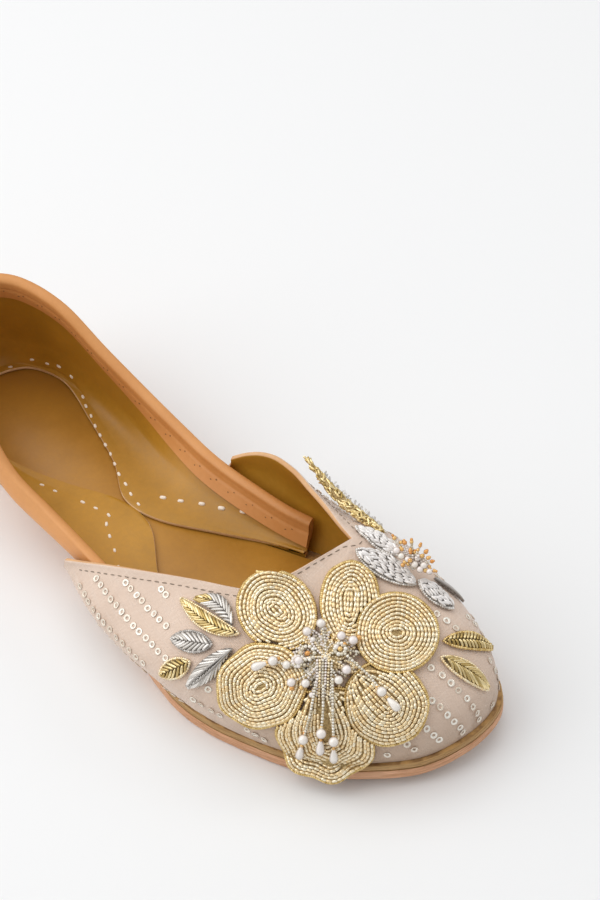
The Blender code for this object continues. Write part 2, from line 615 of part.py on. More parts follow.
def build_petal(row, over, ground, count=22):
    centre = (row["u"], row["v"])
    outline = []
    for k in range(count):
        du, dv = petal_point(row, 2 * math.pi * k / count)
        share = trimmed(centre, (du, dv), over)
        outline.append((du * share, dv * share))
    if row["name"] == "flower_centre":
        return patch(row["name"], ground, centre, outline, PETAL_THICK * CENTRE_THICK, GOLD)
    return patch(row["name"], ground, centre, outline, PETAL_THICK, GOLD, inner=(0.35, 0.7),
                 lift=row.get("lift", MOTIF_LIFT))


def build_leaf(row, over, ground, count=14):
    tip, stem = np.array(row["tip"]), np.array(row["stem"])
    half = (stem - tip) / 2
    length = np.linalg.norm(half)
    along = half / length
    left = np.array([-along[1], along[0]])
    centre = (tip + stem) / 2 + left * row["bend"]
    outline = []
    for k in range(count):
        angle = 2 * math.pi * k / count
        half_width = math.copysign(row["wide"], math.sin(angle))
        width = abs(math.sin(angle)) ** LEAF_SHARPNESS * half_width
        sag = row["bend"] * math.cos(angle) ** 2
        offset = along * length * math.cos(angle) + left * (width - sag)
        outline.append(tuple(offset * trimmed(centre, offset, over)))
    return patch(row["name"], ground, tuple(centre), outline, LEAF_THICK, row["colour"])


def tube(path, radii, sides=6, ribs=0):
    """A solid round a path, its radius given at each point; ribs flute it."""
    path = [Vector(p) for p in path]
    loops = []
    for k, point in enumerate(path):
        tangent = (path[min(k + 1, len(path) - 1)] - path[max(k - 1, 0)]).normalized()
        side = tangent.cross(Vector((0.2, 0.3, 1))).normalized()
        over = side.cross(tangent)
        loop = []
        for s in range(sides):
            angle = 2 * math.pi * s / sides
            radius = radii[k] * (1 + RIB_DEPTH * math.cos(ribs * angle) if ribs else 1)
            loop.append(point + (side * math.cos(angle) + over * math.sin(angle)) * radius)
        loops.append(loop)
    return loft(loops)


def build_string(index, row, ground):
    """One bead string: thin along most of its way, then a round pearl and a drop."""
    start, middle, pearl, drop = (np.array(row[key]) for key in ("start", "middle", "pearl", "drop"))
    path, radii = [], []

    def station(place, radius, over):
        path.append(ground.at(*place, STRING_LIFT + (over + MOTIF_LIFT) / STRING_SLOPE))
        radii.append(radius)

    toward = (pearl - middle) / np.linalg.norm(pearl - middle)
    away = (drop - pearl) / np.linalg.norm(drop - pearl)
    station(start, STRING_RADIUS, STRING_RADIUS)
    station((start + middle) / 2, STRING_RADIUS, STRING_RADIUS)
    station(middle, STRING_RADIUS, STRING_RADIUS)
    station(pearl - toward * PEARL_RADIUS * PEARL_NECK, STRING_RADIUS, PEARL_RADIUS)
    for along, share in PEARL_SHAPE:
        way = toward if along < 0 else away
        station(pearl + way * PEARL_RADIUS * along, PEARL_RADIUS * share, PEARL_RADIUS)
    station(pearl + away * PEARL_RADIUS * PEARL_NECK, STRING_RADIUS, PEARL_RADIUS)
    for along, share in DROP_SHAPE:
        station(drop + away * DROP_RADIUS * along, DROP_RADIUS * share, PEARL_RADIUS)
    return make_object(f"pearl_string_{index}", tube(path, radii), PEARL, 0.25)


def build_embroidery():
    flower, top = Ground(*FLOWER_PLANE), Ground(*TOP_PLANE)
    for index, row in enumerate(PETALS):
        build_petal(row, PETALS[:index], flower)
    for row in LEAVES:
        if row["plane"] == "flower":
            build_leaf(row, PETALS, flower)
        else:
            build_leaf(row, (), top)
    for index, row in enumerate(STRINGS, 1):
        build_string(index, row, flower)
    spike = tube([point for point, _ in SPIKE], [radius for _, radius in SPIKE], sides=8)
    make_object("gold_spike", spike, GOLD, 0.35, metallic=0.8)
    tuft = tube([point for point, _ in STAMENS], [radius for _, radius in STAMENS],
                sides=2 * STALK_RIBS, ribs=STALK_RIBS)
    make_object("stamens", tuft, (0.85, 0.62, 0.35), 0.3)


def main():
    for obj in list(bpy.data.objects):
        bpy.data.objects.remove(obj, do_unlink=True)
    build_outsole()
    build_midsole()
    build_insole()
    build_quarter()
    build_binding()
    build_vamp()
    build_embroidery()


main()
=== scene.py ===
import random
from math import atan2, cos, dist, hypot, pi, radians, sin, sqrt
from types import SimpleNamespace

import bmesh
import bpy
import numpy as np
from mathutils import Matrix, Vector
from mathutils.bvhtree import BVHTree
from mathutils.geometry import barycentric_transform


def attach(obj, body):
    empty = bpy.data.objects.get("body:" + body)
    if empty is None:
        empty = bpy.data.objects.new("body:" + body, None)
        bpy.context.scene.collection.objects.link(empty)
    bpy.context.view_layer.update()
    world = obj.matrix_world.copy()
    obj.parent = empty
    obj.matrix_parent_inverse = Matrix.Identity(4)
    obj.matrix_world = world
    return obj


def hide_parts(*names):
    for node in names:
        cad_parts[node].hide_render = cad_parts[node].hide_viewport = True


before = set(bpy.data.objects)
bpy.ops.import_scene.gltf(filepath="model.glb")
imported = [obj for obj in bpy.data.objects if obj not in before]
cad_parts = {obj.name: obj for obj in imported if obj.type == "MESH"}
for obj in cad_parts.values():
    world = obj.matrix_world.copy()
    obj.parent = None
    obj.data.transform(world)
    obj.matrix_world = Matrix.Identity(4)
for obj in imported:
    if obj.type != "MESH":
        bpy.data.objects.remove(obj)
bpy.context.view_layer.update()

# The tables are in millimetres: x across the shoe, y from the heel to the toe, z up.
# Places round the sole's edge run from 0 at the heel, by the lateral side, to 18 at the toe
# and on to 36, which is the heel again.
mm = 0.001
boxCentre = np.array([2.3, 120.3, 0.0])
upward = np.array([0.0, 0.0, 1.0])
scene = bpy.context.scene


class Look(dict):      # changeable values, read as look.name
    __getattr__ = dict.__getitem__


def unit(vector):
    return vector / np.linalg.norm(vector)


def turns(count):      # even angles round a circle
    return np.linspace(0, 2 * pi, count, endpoint=False)


def linked(name, data):
    obj = bpy.data.objects.new(name, data)
    scene.collection.objects.link(obj)
    return obj


def meshOf(bm, name):
    mesh = bpy.data.meshes.new(name)
    bm.to_mesh(mesh)
    bm.free()
    return mesh


# A socket of a node tree. Sums and products of wires add the Math nodes that they need.
class Wire:
    def __init__(self, tree, socket=None):
        self.tree, self.socket = tree, socket

    def node(self, kind, values=(), output=0, **settings):
        made = self.tree.nodes.new(kind)
        for name, setting in settings.items():
            setattr(made, name, setting)
        for name, value in dict(values).items():
            if isinstance(value, Wire):
                self.tree.links.new(value.socket, made.inputs[name])
            elif value is not None:
                made.inputs[name].default_value = value
        return Wire(self.tree, made.outputs[output])

    def other(self, output):      # another output of the same node
        return Wire(self.tree, self.socket.node.outputs[output])

    def maths(self, operation, other=None):
        return self.node("ShaderNodeMath", {0: self, 1: other}, operation=operation)

    def __add__(self, other):
        return self.maths("ADD", other)

    def __sub__(self, other):
        return self.maths("SUBTRACT", other)

    def __mul__(self, other):
        return self.maths("MULTIPLY", other)

    def __rsub__(self, other):
        return self.node("ShaderNodeMath", {0: other, 1: self}, operation="SUBTRACT")

    __radd__ = __add__
    __rmul__ = __mul__

    def between(self, low, high):      # 0 below low, 1 above high, smooth in between
        return self.node("ShaderNodeMapRange", {"Value": self, "From Min": low, "From Max": high},
                         interpolation_type="SMOOTHSTEP")

    def mix(self, *colours):      # two colours, by this wire as the factor
        first, second = (c if isinstance(c, Wire) else (*c, 1) for c in colours)
        return self.node("ShaderNodeMix", {0: self, 6: first, 7: second}, 2, data_type="RGBA")

    def stretched(self, *axes):      # this vector, scaled along each axis
        return self.node("ShaderNodeVectorMath", {0: self, 1: axes}, operation="MULTIPLY")

    def scaled(self, factor):
        return self.node("ShaderNodeVectorMath", {0: self, "Scale": factor}, operation="SCALE")

    def noise(self, size, detail=2.0, rough=0.5):      # size is the width of a patch
        return self.node("ShaderNodeTexNoise", {
            "Vector": self, "Scale": 1 / size, "Detail": detail, "Roughness": rough})


class Finish:
    def __init__(self, name, **constants):
        self.material = bpy.data.materials.new(name)
        self.material.use_nodes = True
        self.shader = self.material.node_tree.nodes["Principled BSDF"]
        self.start = Wire(self.material.node_tree)
        labels = dict(colour="Base Color", rough="Roughness", metal="Metallic", coat="Coat Weight",
                      coatRough="Coat Roughness", sheen="Sheen Weight", sheenRough="Sheen Roughness")
        for key, value in constants.items():
            socket = self.shader.inputs[labels[key]]
            socket.default_value = (*value, 1) if key == "colour" else value

    def place(self):
        return self.start.node("ShaderNodeTexCoord", output="Object")

    def cloth(self):
        return self.start.node("ShaderNodeUVMap", uv_map="UVMap")

    def shade(self):      # each bead's own number, 0 to 1
        return self.start.node("ShaderNodeAttribute", output="Fac", attribute_name="shade")

    def feed(self, name, wire):
        self.start.tree.links.new(wire.socket, self.shader.inputs[name])

    def bump(self, height, depth, strength):
        self.feed("Normal", self.start.node("ShaderNodeBump", {
            "Strength": strength, "Distance": depth * mm, "Height": height}))


# Leather: mottled in large soft patches, with a fine grain
def leather(name, light, dark, rough, grain, patch=0.03):
    finish = Finish(name, rough=rough, coat=0.04, coatRough=0.35)
    place = finish.place()
    mottle = place.noise(patch, 3.0).between(0.35, 0.68)
    speck = place.noise(0.0016).between(0.3, 0.75)
    finish.feed("Base Color", (mottle * 0.75 + speck * 0.25).mix(dark, light))
    finish.feed("Roughness", speck * 0.10 + (rough - 0.05))
    finish.bump(place.noise(0.0005, 3.0, 0.6) + place.noise(0.0022, 1.0) * 0.8, grain * 3, 0.6)
    return finish.material


# The edge of a sole layer: leather in streaks along the edge, with chips
def edgeLeather(name, light, dark, streak, chip=(0.30, 0.15, 0.06)):
    finish = Finish(name, rough=0.6)
    edge = finish.cloth()
    streaks = edge.stretched(0.12, 2.4, 0).noise(1.0, 4.0, 0.6).between(0.36, 0.66)
    patches = edge.stretched(0.05, 0.2, 0).noise(1.0).between(0.3, 0.7)
    chips = edge.stretched(0.5, 1.3, 0).noise(1.0, 3.0, 0.7).between(0.64, 0.72)
    colour = (patches * 0.45).mix(streaks.mix(dark, light), streak)
    finish.feed("Base Color", (chips * 0.55).mix(colour, chip))
    finish.feed("Roughness", 0.72 - streaks * 0.2)
    finish.bump(streaks - chips * 1.5, 0.16, 0.8)
    return finish.material


def underLeather(name, light, dark):
    finish = Finish(name, rough=0.7)
    place = finish.place()
    fibres = place.stretched(1, 0.25, 1).noise(0.0012, 4.0, 0.6)
    patches = place.noise(0.02, 3.0).between(0.3, 0.7)
    finish.feed("Base Color", (fibres * 0.5 + patches * 0.5).mix(dark, light))
    finish.bump(fibres, 0.08, 0.5)
    return finish.material


# Blush silk: a fine plain weave, slubs along the thread, and painted shade low round the toe
def silk(name, light, dark, slub, low, thread, depth):
    finish = Finish(name, rough=0.55, sheen=0.35, sheenRough=0.4)
    cloth = finish.cloth()
    across = cloth.node("ShaderNodeSeparateXYZ", {0: cloth})
    turn = 2 * pi / thread
    weave = (across * turn).maths("SINE") * (across.other(1) * turn).maths("SINE") * 0.5 + 0.5
    slubs = cloth.stretched(2.2, 0.10, 0).noise(1.0, 3.0, 0.6).between(0.5, 0.72)
    picks = cloth.stretched(0.09, 1.8, 0).noise(1.0, 3.0, 0.6).between(0.45, 0.75)
    patches = finish.place().noise(0.02).between(0.3, 0.75)
    place = finish.start.node("ShaderNodeSeparateXYZ", {0: finish.place()})
    # painted shade: the silk darkens low round the toe, where less light falls
    toeShade = (1 - place.other(2).between(0.008, 0.032)) * place.other(1).between(0.045, 0.095)
    colour = (patches * 0.30 + weave * 0.34).mix(light, dark)
    colour = (slubs * 0.40 + picks * 0.3).mix(colour, slub)
    finish.feed("Base Color", (toeShade * 0.7).mix(colour, low))
    finish.feed("Roughness", 0.62 - weave * 0.16)
    finish.bump(weave + slubs * 0.8 + picks * 0.5, depth, 0.7)
    return finish.material


# Metal beads and wires: each has its own shade, and wires have fine coils across them
def metal(name, light, dark, rough, metal, coil=None):
    finish = Finish(name, metal=metal, rough=rough)
    shade = finish.shade()
    finish.feed("Base Color", shade.mix(dark, light))
    finish.feed("Roughness", (rough + 0.08) - shade * 0.12)
    if coil:
        finish.bump(finish.place().noise(coil * mm, 1.0), 0.12, 0.5)
    return finish.material


def threadPad(name, light, dark):      # what lies under beads: thread and backing cloth, dark partly by their own colour and partly as painted shade in the gaps between beads
    finish = Finish(name, rough=0.75)
    strands = finish.place().noise(0.0007, 3.0, 0.7)
    finish.feed("Base Color", strands.between(0.35, 0.65).mix(dark, light))
    finish.bump(strands, 0.25, 0.7)
    return finish.material


def pearly(name, first, second, rim, **constants):      # painted shade: darker towards its rim, where the surface turns from the view
    finish = Finish(name, **constants)
    facing = finish.start.node("ShaderNodeLayerWeight", {"Blend": 0.5}, "Facing")
    finish.feed("Base Color", facing.between(0.15, 0.85).mix(finish.shade().mix(first, second), rim))
    return finish.material


def plain(name, colour, rough):
    finish = Finish(name, colour=colour, rough=rough)
    finish.bump(finish.place().noise(0.0004), 0.03, 0.5)
    return finish.material


finishLooks = {
    leather: {
        "outsideTan": Look(light=(0.72, 0.33, 0.11), dark=(0.60, 0.25, 0.07), rough=0.50, grain=0.03),
        "bindingTan": Look(light=(0.74, 0.34, 0.11), dark=(0.64, 0.27, 0.075), rough=0.50,
                           grain=0.02),
        "liningBrown": Look(light=(0.55, 0.265, 0.024), dark=(0.41, 0.195, 0.015), rough=0.46,
                            grain=0.02),
        "insoleBrown": Look(light=(0.51, 0.240, 0.030), dark=(0.41, 0.185, 0.020), rough=0.46,
                            grain=0.02),
        "cutEdge": Look(light=(0.80, 0.50, 0.27), dark=(0.66, 0.36, 0.16), rough=0.65, grain=0.05),
        "liningEdge": Look(light=(0.90, 0.64, 0.36), dark=(0.66, 0.42, 0.20), rough=0.65, grain=0.05),
        "midsoleTop": Look(light=(0.60, 0.34, 0.11), dark=(0.24, 0.11, 0.030), rough=0.62,
                           grain=0.06, patch=0.004),
    },
    edgeLeather: {
        "outsoleEdge": Look(light=(0.84, 0.45, 0.25), dark=(0.54, 0.25, 0.11),
                            streak=(0.88, 0.54, 0.34)),
        "midsoleEdge": Look(light=(0.55, 0.32, 0.11), dark=(0.28, 0.13, 0.035),
                            streak=(0.66, 0.43, 0.19)),
    },
    underLeather: {"outsoleUnder": Look(light=(0.70, 0.46, 0.28), dark=(0.45, 0.26, 0.13))},
    silk: {
        # low is the colour of the painted shade low round the toe
        "blushSilk": Look(light=(0.84, 0.65, 0.52), dark=(0.58, 0.42, 0.315), slub=(0.92, 0.76, 0.64),
                          low=(0.44, 0.29, 0.175), thread=0.62, depth=0.16),
    },
    metal: {
        "goldBead": Look(light=(1.0, 0.90, 0.68), dark=(0.95, 0.74, 0.42), rough=0.34, metal=0.76),
        "goldCord": Look(light=(0.95, 0.74, 0.36), dark=(0.62, 0.43, 0.15), rough=0.40, metal=0.85),
        "goldWire": Look(light=(1.0, 0.83, 0.47), dark=(0.48, 0.33, 0.10), rough=0.32, metal=0.85,
                         coil=0.3),
        "silverWire": Look(light=(0.95, 0.91, 0.86), dark=(0.55, 0.51, 0.46), rough=0.38, metal=0.6,
                           coil=0.3),
        "silverFoil": Look(light=(0.96, 0.92, 0.89), dark=(0.80, 0.76, 0.72), rough=0.45,
                           metal=0.35, coil=0.3),
        "silverCord": Look(light=(0.68, 0.64, 0.60), dark=(0.36, 0.33, 0.30), rough=0.42, metal=0.6),
    },
    threadPad: {
        # the pads' dark tones are partly their own colour, partly painted shade in the gaps between
        # beads and wires
        "goldPad": Look(light=(0.62, 0.45, 0.20), dark=(0.28, 0.18, 0.065)),
        "leafPad": Look(light=(0.28, 0.20, 0.08), dark=(0.08, 0.05, 0.02)),
        "silverPad": Look(light=(0.40, 0.36, 0.32), dark=(0.12, 0.105, 0.095)),
    },
    pearly: {
        # rim is painted shade, laid at each bead's edge where it turns from the view
        "pearl": Look(first=(0.95, 0.86, 0.82), second=(0.94, 0.88, 0.79), rim=(0.42, 0.33, 0.27),
                      rough=0.15, coat=1.0, coatRough=0.04),
        "clearBead": Look(first=(0.66, 0.58, 0.42), second=(0.95, 0.91, 0.82), rim=(0.42, 0.34, 0.20),
                          rough=0.14, metal=0.2, coat=0.6, coatRough=0.05),
        "amberBead": Look(first=(0.78, 0.30, 0.05), second=(0.92, 0.62, 0.22), rim=(0.50, 0.20, 0.03),
                          rough=0.14, metal=0.2, coat=0.6, coatRough=0.05),
        "sequin": Look(first=(1.0, 0.95, 0.84), second=(0.80, 0.68, 0.54), rim=(0.60, 0.48, 0.36),
                       rough=0.20, metal=0.15, coat=0.8, coatRough=0.06),
    },
    plain: {
        "creamThread": Look(colour=(0.95, 0.84, 0.70), rough=0.6),
        "darkThread": Look(colour=(0.24, 0.18, 0.13), rough=0.6),
        # needleHole is painted shade: the dark inside a hole, laid on a flat disc
        "needleHole": Look(colour=(0.30, 0.13, 0.045), rough=0.8),
    },
}
finishes = {name: make(name, **look) for make, looks in finishLooks.items()
            for name, look in looks.items()}
print("finishes made")

# Camera, floor and lights, each lamp by its place, size and power
view = Look(target=(-0.0672, -0.0148, 0.0), back=(0.4585, 0.4765, 0.7501), distance=0.898, lens=100)
lighting = Look(floor=(0.89, 0.89, 0.885), world=(0.93, 0.94, 0.96), worldPower=0.53,
                lamps=dict(top=((-0.15, -0.30, 1.2), 1.2, 5.0), side=((0.85, -0.75, 1.0), 1.5, 12.5),
                           far=((-0.9, 0.6, 0.7), 0.4, 1.5)))
sight = Vector(view.back).normalized()


def makeStudio():
    camera = linked("camera", bpy.data.cameras.new("camera"))
    camera.data.lens = view.lens
    camera.data.sensor_width = 36
    camera.data.clip_start = 0.01
    camera.location = Vector(view.target) + sight * view.distance
    camera.rotation_euler = sight.to_track_quat("Z", "Y").to_euler()
    scene.camera = camera
    bm = bmesh.new()
    bmesh.ops.create_grid(bm, x_segments=1, y_segments=1, size=3.0)
    floor = linked("floor", meshOf(bm, "floor"))
    floor.location.z = -0.00005
    floor.data.materials.append(Finish("paleFloor", colour=lighting.floor, rough=0.7).material)
    scene.world = scene.world or bpy.data.worlds.new("studio")
    scene.world.use_nodes = True
    background = scene.world.node_tree.nodes["Background"].inputs
    background["Color"].default_value = (*lighting.world, 1)
    background["Strength"].default_value = lighting.worldPower
    scene.view_settings.view_transform = "Standard"
    for name, (place, size, power) in lighting.lamps.items():
        lamp = linked(name, bpy.data.lights.new(name, "AREA"))
        lamp.data.size, lamp.data.energy, lamp.location = size, power, place
        lamp.rotation_euler = Vector(place).to_track_quat("Z", "Y").to_euler()


makeStudio()
print("studio made")


# Rows of numbers under named columns, read between the rows along a smooth curve
class Table:
    def __init__(self, names, *rows):
        self.names = names.split()
        self.rows = np.array(rows, float)
        self.keys = self.rows[:, 0]
        steps = np.diff(self.keys)[:, None]
        slopes = np.diff(self.rows, axis=0) / steps
        inner = (slopes[:-1] * steps[1:] + slopes[1:] * steps[:-1]) / (steps[:-1] + steps[1:])
        self.slopes = np.vstack([slopes[:1], inner, slopes[-1:]])

    def close(self):      # the first and last rows are the same place and share one slope
        self.slopes[0] = self.slopes[-1] = (self.slopes[0] + self.slopes[-1]) / 2
        return self

    def at(self, key):
        row = int(np.clip(np.searchsorted(self.keys, key) - 1, 0, len(self.keys) - 2))
        step = self.keys[row + 1] - self.keys[row]
        t = (key - self.keys[row]) / step
        leave, arrive = self.slopes[row] * step, self.slopes[row + 1] * step
        value = ((2 * t ** 3 - 3 * t ** 2 + 1) * self.rows[row] + (t ** 3 - 2 * t ** 2 + t) * leave
                 + (3 * t ** 2 - 2 * t ** 3) * self.rows[row + 1] + (t ** 3 - t ** 2) * arrive)
        return SimpleNamespace(**dict(zip(self.names, value)))


shoe = Look(gap=0.3, outsoleThick=4.6, midsoleThick=2.3, insoleThick=1.5, flangeThick=1.2,
            archLift=1.8, archFrom=58.0, archTo=140.0, toeSpring=5.4, springFrom=186.0,
            toeTip=240.6, steps=8)
midsoleZ = shoe.outsoleThick + shoe.gap
upperZ = midsoleZ + shoe.midsoleThick + shoe.gap
insoleTop = upperZ + shoe.insoleThick
flangeTop = insoleTop + shoe.gap + shoe.flangeThick

soleTable = Table(
    "place x y",
    (0, 0.5, 0.0), (1, 13.0, 3.8), (2, 20.5, 13.0), (3, 23.2, 30.0), (4, 23.6, 48.0),
    (5, 23.6, 66.0), (6, 25.2, 84.0), (7, 29.2, 100.0), (8, 34.5, 117.0), (9, 38.6, 133.5),
    (10, 42.4, 149.0), (11, 44.1, 161.0), (12, 43.0, 172.5), (13, 39.9, 184.5),
    (14, 35.4, 197.5), (15, 28.8, 212.0), (16, 18.6, 224.6), (17, 4.5, 236.3),
    (18, -12.5, 240.6), (19, -26.8, 238.8), (20, -34.6, 232.4), (21, -39.2, 223.5),
    (22, -42.0, 212.0), (23, -43.3, 199.0), (24, -42.9, 185.0), (25, -41.0, 170.0),
    (26, -37.2, 154.0), (27, -31.0, 138.0), (28, -23.8, 121.0), (29, -20.0, 104.0),
    (30, -19.8, 87.0), (31, -22.2, 69.0), (32, -25.0, 50.0), (33, -24.8, 30.0),
    (34, -19.8, 12.5), (35, -12.0, 3.6), (36, 0.5, 0.0),
).close()

throatPoint = (-21.6, 175.3, 48.3)
vampTable = Table(
    "place x y z rise bulge fullness crown turn inset",
    (7.0, 39.6, 100.3, 21.5, 88, 13.0, 0.36, 0.22, 0.0, 1.2),
    (7.5, 37.9, 109.0, 26.5, 80, 19.0, 0.38, 0.24, 0.0, 1.2),
    (8.0, 35.5, 117.2, 30.5, 70, 22.5, 0.40, 0.26, 0.0, 1.2),
    (8.5, 32.6, 125.1, 33.5, 60, 24.5, 0.42, 0.28, 0.0, 1.2),
    (9.0, 29.4, 133.0, 36.0, 51, 24.5, 0.44, 0.30, 0.1, 1.2),
    (9.5, 25.7, 141.6, 38.5, 44, 23.0, 0.48, 0.32, 0.2, 1.2),
    (10.0, 22.0, 150.7, 41.0, 38, 20.0, 0.52, 0.33, 0.3, 1.2),
    (10.5, 18.3, 159.6, 43.0, 33, 17.0, 0.56, 0.34, 0.45, 1.2),
    (11.0, 14.8, 166.2, 44.6, 28, 14.5, 0.59, 0.35, 0.6, 1.2),
    (11.4, 11.9, 169.2, 45.4, 24, 12.8, 0.61, 0.36, 0.7, 1.2),
    (11.8, 5.5, 170.8, 46.5, 20, 11.4, 0.62, 0.37, 0.8, 1.2),
    (12.2, -2.0, 172.4, 47.3, 16, 10.2, 0.63, 0.38, 0.9, 1.2),
    (12.6, -9.0, 173.5, 47.8, 13, 9.1, 0.64, 0.39, 0.95, 1.2),
    (13.0, -14.6, 174.3, 48.1, 11, 8.1, 0.65, 0.40, 1.0, 1.2),
    (13.5, -19.4, 175.0, 48.3, 9, 6.9, 0.65, 0.41, 1.0, 1.3),
    (14.0, *throatPoint, 8, 5.8, 0.65, 0.42, 1.0, 1.4),
    (16.0, *throatPoint, 12, 3.2, 0.63, 0.44, 1.0, 1.8),
    (18.0, *throatPoint, 15, 3.0, 0.61, 0.44, 1.0, 2.4),
    (20.0, *throatPoint, 14, 3.0, 0.61, 0.42, 1.0, 2.2),
    (22.0, *throatPoint, 10, 3.2, 0.63, 0.40, 1.0, 1.4),
    (24.0, *throatPoint, 12, 5.0, 0.66, 0.36, 1.0, 1.2),
    (24.6, -23.9, 167.3, 46.8, 25, 6.0, 0.65, 0.35, 0.8, 1.2),
    (25.0, -26.5, 160.6, 45.0, 42, 7.0, 0.62, 0.34, 0.6, 1.2),
    (26.0, -31.3, 147.1, 40.8, 62, 10.0, 0.56, 0.30, 0.2, 1.2),
    (27.0, -35.5, 132.2, 36.8, 80, 13.0, 0.50, 0.28, 0.0, 1.2),
    (27.5, -36.3, 124.0, 34.5, 86, 14.5, 0.48, 0.26, 0.0, 1.2),
    (28.0, -35.2, 117.6, 32.2, 92, 15.5, 0.45, 0.24, 0.0, 1.2),
    (28.5, -33.1, 112.3, 29.2, 96, 15.5, 0.43, 0.22, 0.0, 1.2),
    (29.0, -30.7, 107.7, 25.5, 98, 14.0, 0.42, 0.20, 0.0, 1.2),
)

quarterTable = Table(
    "place x y z bulge tuck inset edgeX edgeY",
    (26.6, -33.6, 144.0, 19.4, 1.0, 0.3, 5.0, -26.6, 143.5),
    (27.0, -31.4, 138.0, 20.3, 1.2, 0.3, 5.0, -23.0, 137.0),
    (28.0, -28.0, 121.0, 22.4, 2.0, 0.5, 4.4, -12.5, 121.5),
    (29.0, -26.0, 103.5, 24.2, 3.5, 0.8, 4.2, -0.5, 102.5),
    (30.0, -25.8, 86.5, 27.0, 3.5, 1.5, 3.2, 1.6, 87.0),
    (31.0, -24.9, 68.5, 32.4, 2.5, 2.0, 1.2, -7.6, 70.5),
    (32.0, -23.4, 49.5, 39.8, 2.0, 3.0, 1.2, -14.5, 50.0),
    (33.0, -21.2, 31.0, 49.4, 2.0, 4.0, 1.2, -20.0, 30.0),
    (34.0, -16.6, 15.5, 53.6, 2.2, 4.0, 1.2, -16.8, 16.5),
    (35.0, -9.2, 6.8, 55.0, 2.2, 4.2, 1.2, -9.5, 10.8),
    (36.0, 0.9, 4.0, 55.4, 2.2, 4.4, 1.2, 0.5, 9.0),
    (37.0, 11.0, 6.8, 55.0, 2.2, 4.2, 1.2, 10.5, 10.8),
    (38.0, 19.0, 15.5, 53.4, 2.6, 4.2, 1.2, 17.2, 16.5),
    (39.0, 25.2, 31.0, 48.0, 4.5, 4.0, 1.2, 20.0, 30.0),
    (40.0, 29.6, 48.0, 38.0, 8.0, 3.4, 1.2, 17.2, 49.0),
    (41.0, 32.2, 64.0, 30.2, 11.0, 2.8, 1.2, 10.6, 68.0),
    (42.0, 31.8, 82.0, 25.4, 11.5, 2.2, 3.0, 3.4, 86.0),
    (43.0, 32.8, 99.0, 24.0, 8.0, 1.6, 4.0, 3.6, 102.0),
    (44.0, 34.4, 116.0, 23.8, 5.0, 1.0, 4.2, 14.0, 117.5),
    (45.0, 35.6, 131.5, 22.6, 2.5, 0.8, 4.2, 25.0, 132.5),
    (45.6, 36.6, 141.0, 21.0, 2.0, 0.8, 4.2, 31.0, 141.5),
)


def liftAt(y):      # how far the sole's underside is over the floor
    if shoe.archFrom < y < shoe.archTo:
        return shoe.archLift * sin(pi * (y - shoe.archFrom) / (shoe.archTo - shoe.archFrom)) ** 2
    if y > shoe.springFrom:
        return shoe.toeSpring * ((y - shoe.springFrom) / (shoe.toeTip - shoe.springFrom)) ** 2
    return 0.0


def soleEdge(place, inset=0.0):
    here = soleTable.at(place % 36)
    before, after = soleTable.at((place - 0.02) % 36), soleTable.at((place + 0.02) % 36)
    inward = unit(np.array([before.y - after.y, after.x - before.x]))
    return np.array([here.x, here.y]) + inward * inset, inward


def edgePoint(place, inset, height):
    (x, y), _ = soleEdge(place, inset)
    return np.array([x, y, height + liftAt(y)])


def outwardAt(place):
    return np.array([*-soleEdge(place)[1], 0])


def bezier(points, count=60):
    t = np.linspace(0, 1, count)[:, None]
    a, b, c, d = points
    return (1 - t) ** 3 * a + 3 * (1 - t) ** 2 * t * b + 3 * (1 - t) * t ** 2 * c + t ** 3 * d


def runOf(curve):      # the length along a curve at each of its points
    return np.concatenate([[0], np.cumsum(np.linalg.norm(np.diff(curve, axis=0), axis=1))])


def resample(curve, lengths, values=None):      # the curve, or its values, at these lengths
    run = runOf(curve)
    values = curve if values is None else values
    return np.array([[np.interp(s, run, column) for column in values.T] for s in lengths])


def evenly(curve, count):
    return resample(curve, np.linspace(0, runOf(curve)[-1], count))


def smoothPath(points, step):      # a rounded path through points, in equal steps
    points = np.array(points, float)
    run = runOf(points)
    names = " ".join(f"k{k}" for k in range(points.shape[1] + 1))
    table = Table(names, *np.column_stack([run, points]))
    fine = np.array([[*vars(table.at(s)).values()][1:]
                     for s in np.linspace(0, run[-1], 8 * len(points))])
    return evenly(fine, max(2, int(round(runOf(fine)[-1] / step)) + 1))


def sheetNormals(grid):
    normals = np.cross(np.gradient(grid, axis=0), np.gradient(grid, axis=1))
    return normals / np.maximum(np.linalg.norm(normals, axis=2, keepdims=True), 1e-9)


# Faces between the neighbouring points of a grid, [column][row]; uv gives each point's place
# on the piece in millimetres, and slots the material of each row of faces
def addGrid(bm, grid, uv=None, ring=False, loop=False, slots=None):
    columns, rows = len(grid), len(grid[0])
    verts = [[bm.verts.new(point) for point in column] for column in grid]
    layer = bm.loops.layers.uv.get("UVMap") or bm.loops.layers.uv.new("UVMap")
    for c in range(columns if ring else columns - 1):
        for r in range(rows if loop else rows - 1):
            corners = ((c, r), (c + 1, r), (c + 1, r + 1), (c, r + 1))
            face = bm.faces.new([verts[i % columns][j % rows] for i, j in corners])
            face.smooth = True
            face.material_index = slots[r] if slots else 0
            for corner, (i, j) in zip(face.loops, corners):
                corner[layer].uv = uv(i, j) if uv else (0, 0)
    return verts


def capRows(bm, verts):
    for row in (0, -1):
        bm.faces.new([column[row] for column in verts])


